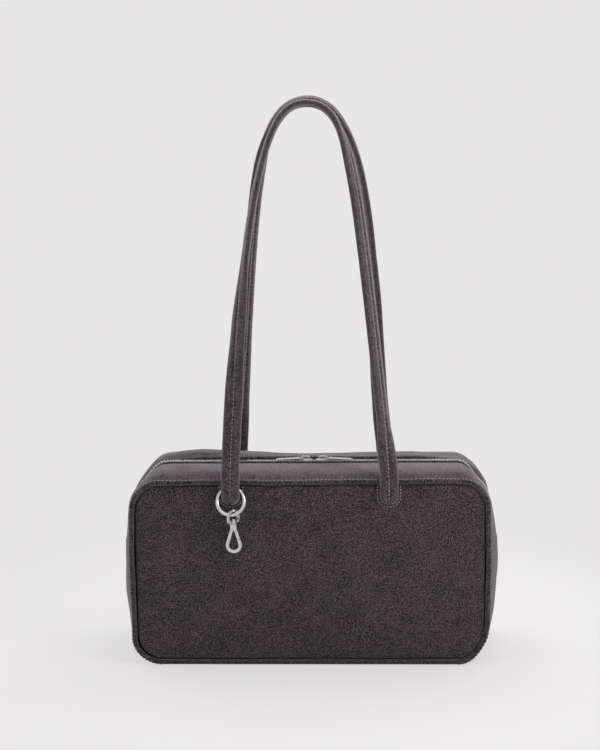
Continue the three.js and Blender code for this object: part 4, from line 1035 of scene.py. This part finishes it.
def eased(values, reach):
    """Values smoothed along the strap, with both ends kept."""
    weights = np.exp(-np.linspace(-2, 2, 2 * reach + 1) ** 2)
    padded = np.concatenate([
        2 * values[:1] - values[reach:0:-1], values, 2 * values[-1:] - values[-2:-reach - 2:-1],
    ])
    columns = [np.convolve(padded[:, i], weights / weights.sum(), "valid") for i in range(values.shape[1])]
    return np.stack(columns, -1)


def strap_twist(height, degrees):
    """How far a leg has turned from facing front towards facing outwards, at heights over the top seam."""
    turned = np.full_like(height, degrees[0], float)
    for i in range(1, len(degrees)):
        turned += (degrees[i] - degrees[i - 1]) * smoothstep(height, *TWIST_HEIGHTS[i - 1:i + 1])
    return np.radians(turned)


def strap(name, facing, body, legs, twists, over_ring):
    """One strap from sewn end to sewn end, with both rows of its stitches, bent at the loop's hinge."""
    hinge = HINGE[body]
    left = end_line(-HANDLE_X, facing, hinge, over_ring)
    right = end_line(HANDLE_X, facing, hinge, False)[::-1]
    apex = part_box(name.replace("_strap", ""))[1].z - STRAP_HALF_THICKNESS
    arch, face = arch_line(facing, hinge, apex, legs)
    centre = eased(np.concatenate([left, arch[2:-2], right]), EASE_REACH)
    along = np.gradient(centre, axis=0)
    along /= np.linalg.norm(along, axis=1, keepdims=True)
    forward = np.tile(np.array([0.0, facing, 0.0]), (len(centre), 1))
    blend = smoothstep(centre[:, 2], hinge.z - BEND_START, hinge.z + BEND_END)[:, None]
    forward = forward * (1 - blend) + face * blend
    outward = -facing * np.cross(forward, along)
    over_top = centre[:, 2] - BODY_HEIGHT
    on_left = centre[:, 0] < 0
    left_twist, right_twist = (strap_twist(over_top, degrees) for degrees in twists)
    twist = np.where(on_left, left_twist, right_twist)[:, None]
    out = forward * np.cos(twist) + outward * np.sin(twist)
    out -= along * np.sum(out * along, 1, keepdims=True)
    out /= np.linalg.norm(out, axis=1, keepdims=True)
    across = np.cross(along, out)
    tip = np.maximum(0, STRAP_TIP + TIP_RADIUS - centre[:, 2])
    half = STRAP_HALF - TIP_RADIUS + np.sqrt(np.maximum(TIP_RADIUS**2 - tip**2, 0))
    run = np.concatenate([[0], np.cumsum(np.linalg.norm(np.diff(centre, axis=0), axis=1))])
    turns = np.linspace(0, 2 * math.pi, STRAP_SIDES, endpoint=False)
    # The section is two soft lobes with the stitched groove between them, and one lobe laps over it.
    wide = np.sign(np.cos(turns)) * np.abs(np.cos(turns)) ** LOBE_WIDE
    thick = np.sign(np.sin(turns)) * np.abs(np.sin(turns)) ** LOBE_THICK
    off = wide * STRAP_HALF
    lap = LAP_RISE * smoothstep(off, *LAP_EDGE) * smoothstep(-off, *LAP_BACK)
    groove = (SEAM_GROOVE * np.exp(-((off / GROOVE_HALF) ** 2)) - lap) * np.sign(thick)
    wobble = np.array([noise.noise((r * STRAP_WAVES, facing * 5.0, 0)) for r in run])
    swell = 1 + STRAP_UNEVEN * wobble
    flat = np.minimum(1, np.sqrt(np.maximum(half / STRAP_HALF, 0)))
    depth = STRAP_HALF_THICKNESS * (swell * flat)[:, None] * thick[None, :] - groove[None, :] * flat[:, None]
    rings = (
        centre[:, None]
        + across[:, None] * (half[:, None] * wide[None, :])[..., None]
        + out[:, None] * depth[..., None]
    )
    girth = np.linspace(0, STRAP_GIRTH, len(turns) + 1)
    # The tube is cut on the bias, so its weave runs aslant.
    on_length, on_girth = np.meshgrid(np.append(run, run[-1]), girth, indexing="ij")
    mapped = np.stack([on_length + on_girth * BIAS, on_girth - on_length * BIAS], -1)
    piece = cloth_piece(name, rings, mapped, bias_canvas)
    piece.data.materials.append(thread)
    count = int(run[-1] / STITCH_PITCH)
    marks = (np.arange(count) + 0.5) * run[-1] / count
    marks = marks[(marks > STITCH_MARGIN) & (marks < run[-1] - STITCH_MARGIN)]

    def at_marks(values):
        return np.stack([np.interp(marks, run, values[:, i]) for i in range(3)], -1)

    reach = STRAP_HALF_THICKNESS - SEAM_GROOVE + THREAD_RADIUS * STITCH_SINK
    for way in (1, -1):
        face_out = way * at_marks(out)
        points, faces = stitch_mesh(at_marks(centre) + face_out * reach, at_marks(along), face_out)
        rows = bpy.data.meshes.new("rows")
        rows.from_pydata(points.tolist(), [], faces)
        rows.polygons.foreach_set("material_index", np.ones(len(faces), np.int32))
        rows.shade_smooth()
        work = bmesh.new()
        work.from_mesh(piece.data)
        work.from_mesh(rows)
        work.to_mesh(piece.data)
        work.free()
        bpy.data.meshes.remove(rows)
    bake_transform(piece)
    return piece


for side, facing in SIDES:
    handle = strap(
        f"{side}_handle_strap", facing, f"{side}_loop", ARCH_LEGS[side], LEG_TWISTS[side], side == "front"
    )
    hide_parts(f"{side}_handle", f"{side}_handle_end_left", f"{side}_handle_end_right")

# Each strap end is held by a row of the same thread through the panel, round the tip and up both sides,
# in shorter stitches.
END_ROW_MARGIN = 0.0021
END_ROW_DROP = 0.0030
END_ROW_TOP = BODY_HEIGHT - 0.0052
END_ROW_FLAT = 0.0008
END_ROW_PITCH = 0.0028
END_ROW_STITCH = 0.0021


def end_row(x, facing):
    """The row's line on the panel, down one side, round the tip and up the other side, and its length."""
    half = STRAP_HALF + END_ROW_MARGIN
    radius = half - END_ROW_FLAT
    low = STRAP_TIP - END_ROW_DROP + radius
    side = END_ROW_TOP - low
    bend = radius * math.pi / 2
    flat = 2 * (half - radius)

    def surface(s, over):
        turn_in = np.clip((s - side) / radius, 0, math.pi / 2)
        turn_out = np.clip((s - side - bend - flat) / radius, 0, math.pi / 2)
        turn = turn_in + turn_out
        level = np.clip(s - side - bend, 0, flat)
        up = np.minimum(s, side) - np.maximum(s - side - 2 * bend - flat, 0)
        px = x - half + radius - radius * np.cos(turn) + level
        pz = END_ROW_TOP - up - radius * np.sin(turn)
        return np.stack([px, facing * (panel_face(px, pz) + over), pz], -1)

    return surface, 2 * side + 2 * bend + flat


for side, facing in SIDES:
    for hand, sign in HANDS:
        surface, length = end_row(sign * HANDLE_X, facing)
        name = f"{side}_handle_stitches_{hand}"
        stitch_row(name, surface, 0, length, thread, END_ROW_PITCH, END_ROW_STITCH)


# The ring and the swivel snap hook: plated steel. The ring lies behind the front left strap, the hook's eye
# hangs on it, and the hook turns on a riveted post. Its sprung gate closes the right side of the pear.
RING_JOINT = next(j for j in frame["joints"] if j["child"] == "ring")
RING_LOW, RING_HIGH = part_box("strap_ring")
RING_RADIUS = (RING_HIGH.x - RING_LOW.x - RING_WIRE) / 2
RING_TURN = 112
RING_GIRTH = 0.074
WIRE_TURN = 24
WIRE_GIRTH = 0.011

ring_top = Vector(RING_JOINT["pos_m"])
ring_middle = (RING_LOW + RING_HIGH) / 2
down = (ring_middle - ring_top).normalized()
turns = np.linspace(0, 2 * math.pi, RING_TURN, endpoint=False)
wires = np.linspace(0, 2 * math.pi, WIRE_TURN, endpoint=False)
middle = np.array(ring_top + down * RING_RADIUS)
sideways = np.array((1.0, 0, 0))
square = np.cross(sideways, np.array(down))
radial = np.cos(turns)[:, None] * sideways + np.sin(turns)[:, None] * np.array(down)
tube = radial[:, None] * np.cos(wires)[None, :, None] + square * np.sin(wires)[None, :, None]
rings = middle + radial[:, None] * RING_RADIUS + tube * RING_WIRE / 2
mapped = even_map(np.linspace(0, RING_GIRTH, RING_TURN + 1), np.linspace(0, WIRE_GIRTH, WIRE_TURN + 1))
bright_nickel = plated_nickel("bright_nickel", 0.8)
ring = cloth_piece("strap_ring_metal", rings, mapped, bright_nickel, loop=True)
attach(ring, "ring")
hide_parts("strap_ring")

softened("swivel_eye", bright_nickel, 0.0007, "eye", 4)
softened("snap_hook", bright_nickel, 0.0006, "hook", 4)
softened("hook_gate", bright_nickel, 0.0004, "gate")
softened("gate_pin", bright_nickel, 0.0002, "hook")
softened("gate_spring", bright_nickel, 0.00005, "hook", 1)


# The studio: a pale floor that runs out into an even backdrop, a white room that is brightest behind the
# bag and beside it, a soft light close overhead, and a smaller one in front on the right.
BACKDROP = srgb(232, 230, 231)
FLOOR_HALF = 6
FLOOR_LEVEL = -0.0003
FLOOR_COLOUR = (0.76, 0.745, 0.75)
FLOOR_GLOW = 0.69
FLOOR_NEAR = 0.18
FLOOR_FAR = 0.45
ROOM_WHITE = 6.0
ROOM_BACK = 0.80
ROOM_FRONT = 0.06
ROOM_RIGHT = 2.6
ROOM_LEFT = 4.8


def add_light(name, place, aim, width, height, watts):
    lamp = bpy.data.lights.new(name, "AREA")
    lamp.shape = "RECTANGLE"
    lamp.size, lamp.size_y = width, height
    lamp.energy = watts
    holder = bpy.data.objects.new(name, lamp)
    bpy.context.scene.collection.objects.link(holder)
    holder.location = place
    holder.rotation_euler = (Vector(aim) - Vector(place)).to_track_quat("-Z", "Y").to_euler()


def looked_at(wire):
    """1 where the picture or a reflection shows a surface, 0 where it only lights others."""
    camera_ray = wire.node("LightPath", None, None, "Is Camera Ray")
    glossy_ray = wire.node("LightPath", None, None, "Is Glossy Ray")
    return camera_ray.math("MAXIMUM", camera_ray, glossy_ray)


def pale_floor():
    made, wire, sockets = new_finish("pale_floor")
    place = wire.node("TexCoord", None, None, 3)
    reach = wire.node("VectorMath", {"operation": "LENGTH"}, {0: place}, 1)
    fade = reach.step(FLOOR_NEAR, FLOOR_FAR)
    grain = wire.noise(place, 60.0)
    low = tuple(c * 0.995 for c in FLOOR_COLOUR)
    link(grain.tint((*low, 1), (*FLOOR_COLOUR, 1)), sockets["Base Color"])
    sockets["Roughness"].default_value = 0.95
    sockets["Specular IOR Level"].default_value = 0.0
    glow = wire.node("Emission", None, {"Color": (*BACKDROP, 1), "Strength": 1.0})
    output = made.node_tree.nodes["Material Output"].inputs["Surface"]
    plain = Wire(made.node_tree, made.node_tree.nodes["Principled BSDF"].outputs[0])
    share = (FLOOR_GLOW + fade * (1 - FLOOR_GLOW)) * looked_at(wire)
    link(wire.node("MixShader", None, {0: share, 1: plain, 2: glow}), output)
    return made


floor_mesh = bpy.data.meshes.new("studio_floor")
floor_corners = [(x * FLOOR_HALF, y * FLOOR_HALF, 0) for x, y in ((-1, -1), (1, -1), (1, 1), (-1, 1))]
floor_mesh.from_pydata(floor_corners, [], [(0, 1, 2, 3)])
floor = bpy.data.objects.new("studio_floor", floor_mesh)
floor.location.z = FLOOR_LEVEL
floor_mesh.materials.append(pale_floor())
bpy.context.scene.collection.objects.link(floor)


def positive(wire):
    return wire.math("MAXIMUM", wire, 0.0)


studio = bpy.data.worlds.new("studio")
studio.use_nodes = True
bpy.context.scene.world = studio
sky = Wire(studio.node_tree)
way = sky.node("TexCoord", None, None, 0)
rightward, backward = (sky.node("SeparateXYZ", None, {0: way}, axis) for axis in (0, 1))
room = positive(backward) * ROOM_BACK + positive(backward * -1) * ROOM_FRONT
beside = positive(rightward) * ROOM_RIGHT + positive(rightward * -1) * ROOM_LEFT
room = room + beside * (0.5 + backward * 0.5)
walls = (room / ROOM_WHITE).tint((0, 0, 0, 1), (ROOM_WHITE, ROOM_WHITE, ROOM_WHITE, 1))
background = studio.node_tree.nodes["Background"].inputs
link(looked_at(sky).tint(walls, (*BACKDROP, 1)), background["Color"])
background["Strength"].default_value = 1.0

add_light("overhead", (0.20, 0.05, 0.90), (0, 0, 0.18), 0.8, 0.6, 3.2)
add_light("right_front", (0.85, -0.62, 0.60), (0.02, -0.05, 0.18), 0.3, 0.3, 4.0)

bpy.context.scene.view_settings.view_transform = "Standard"
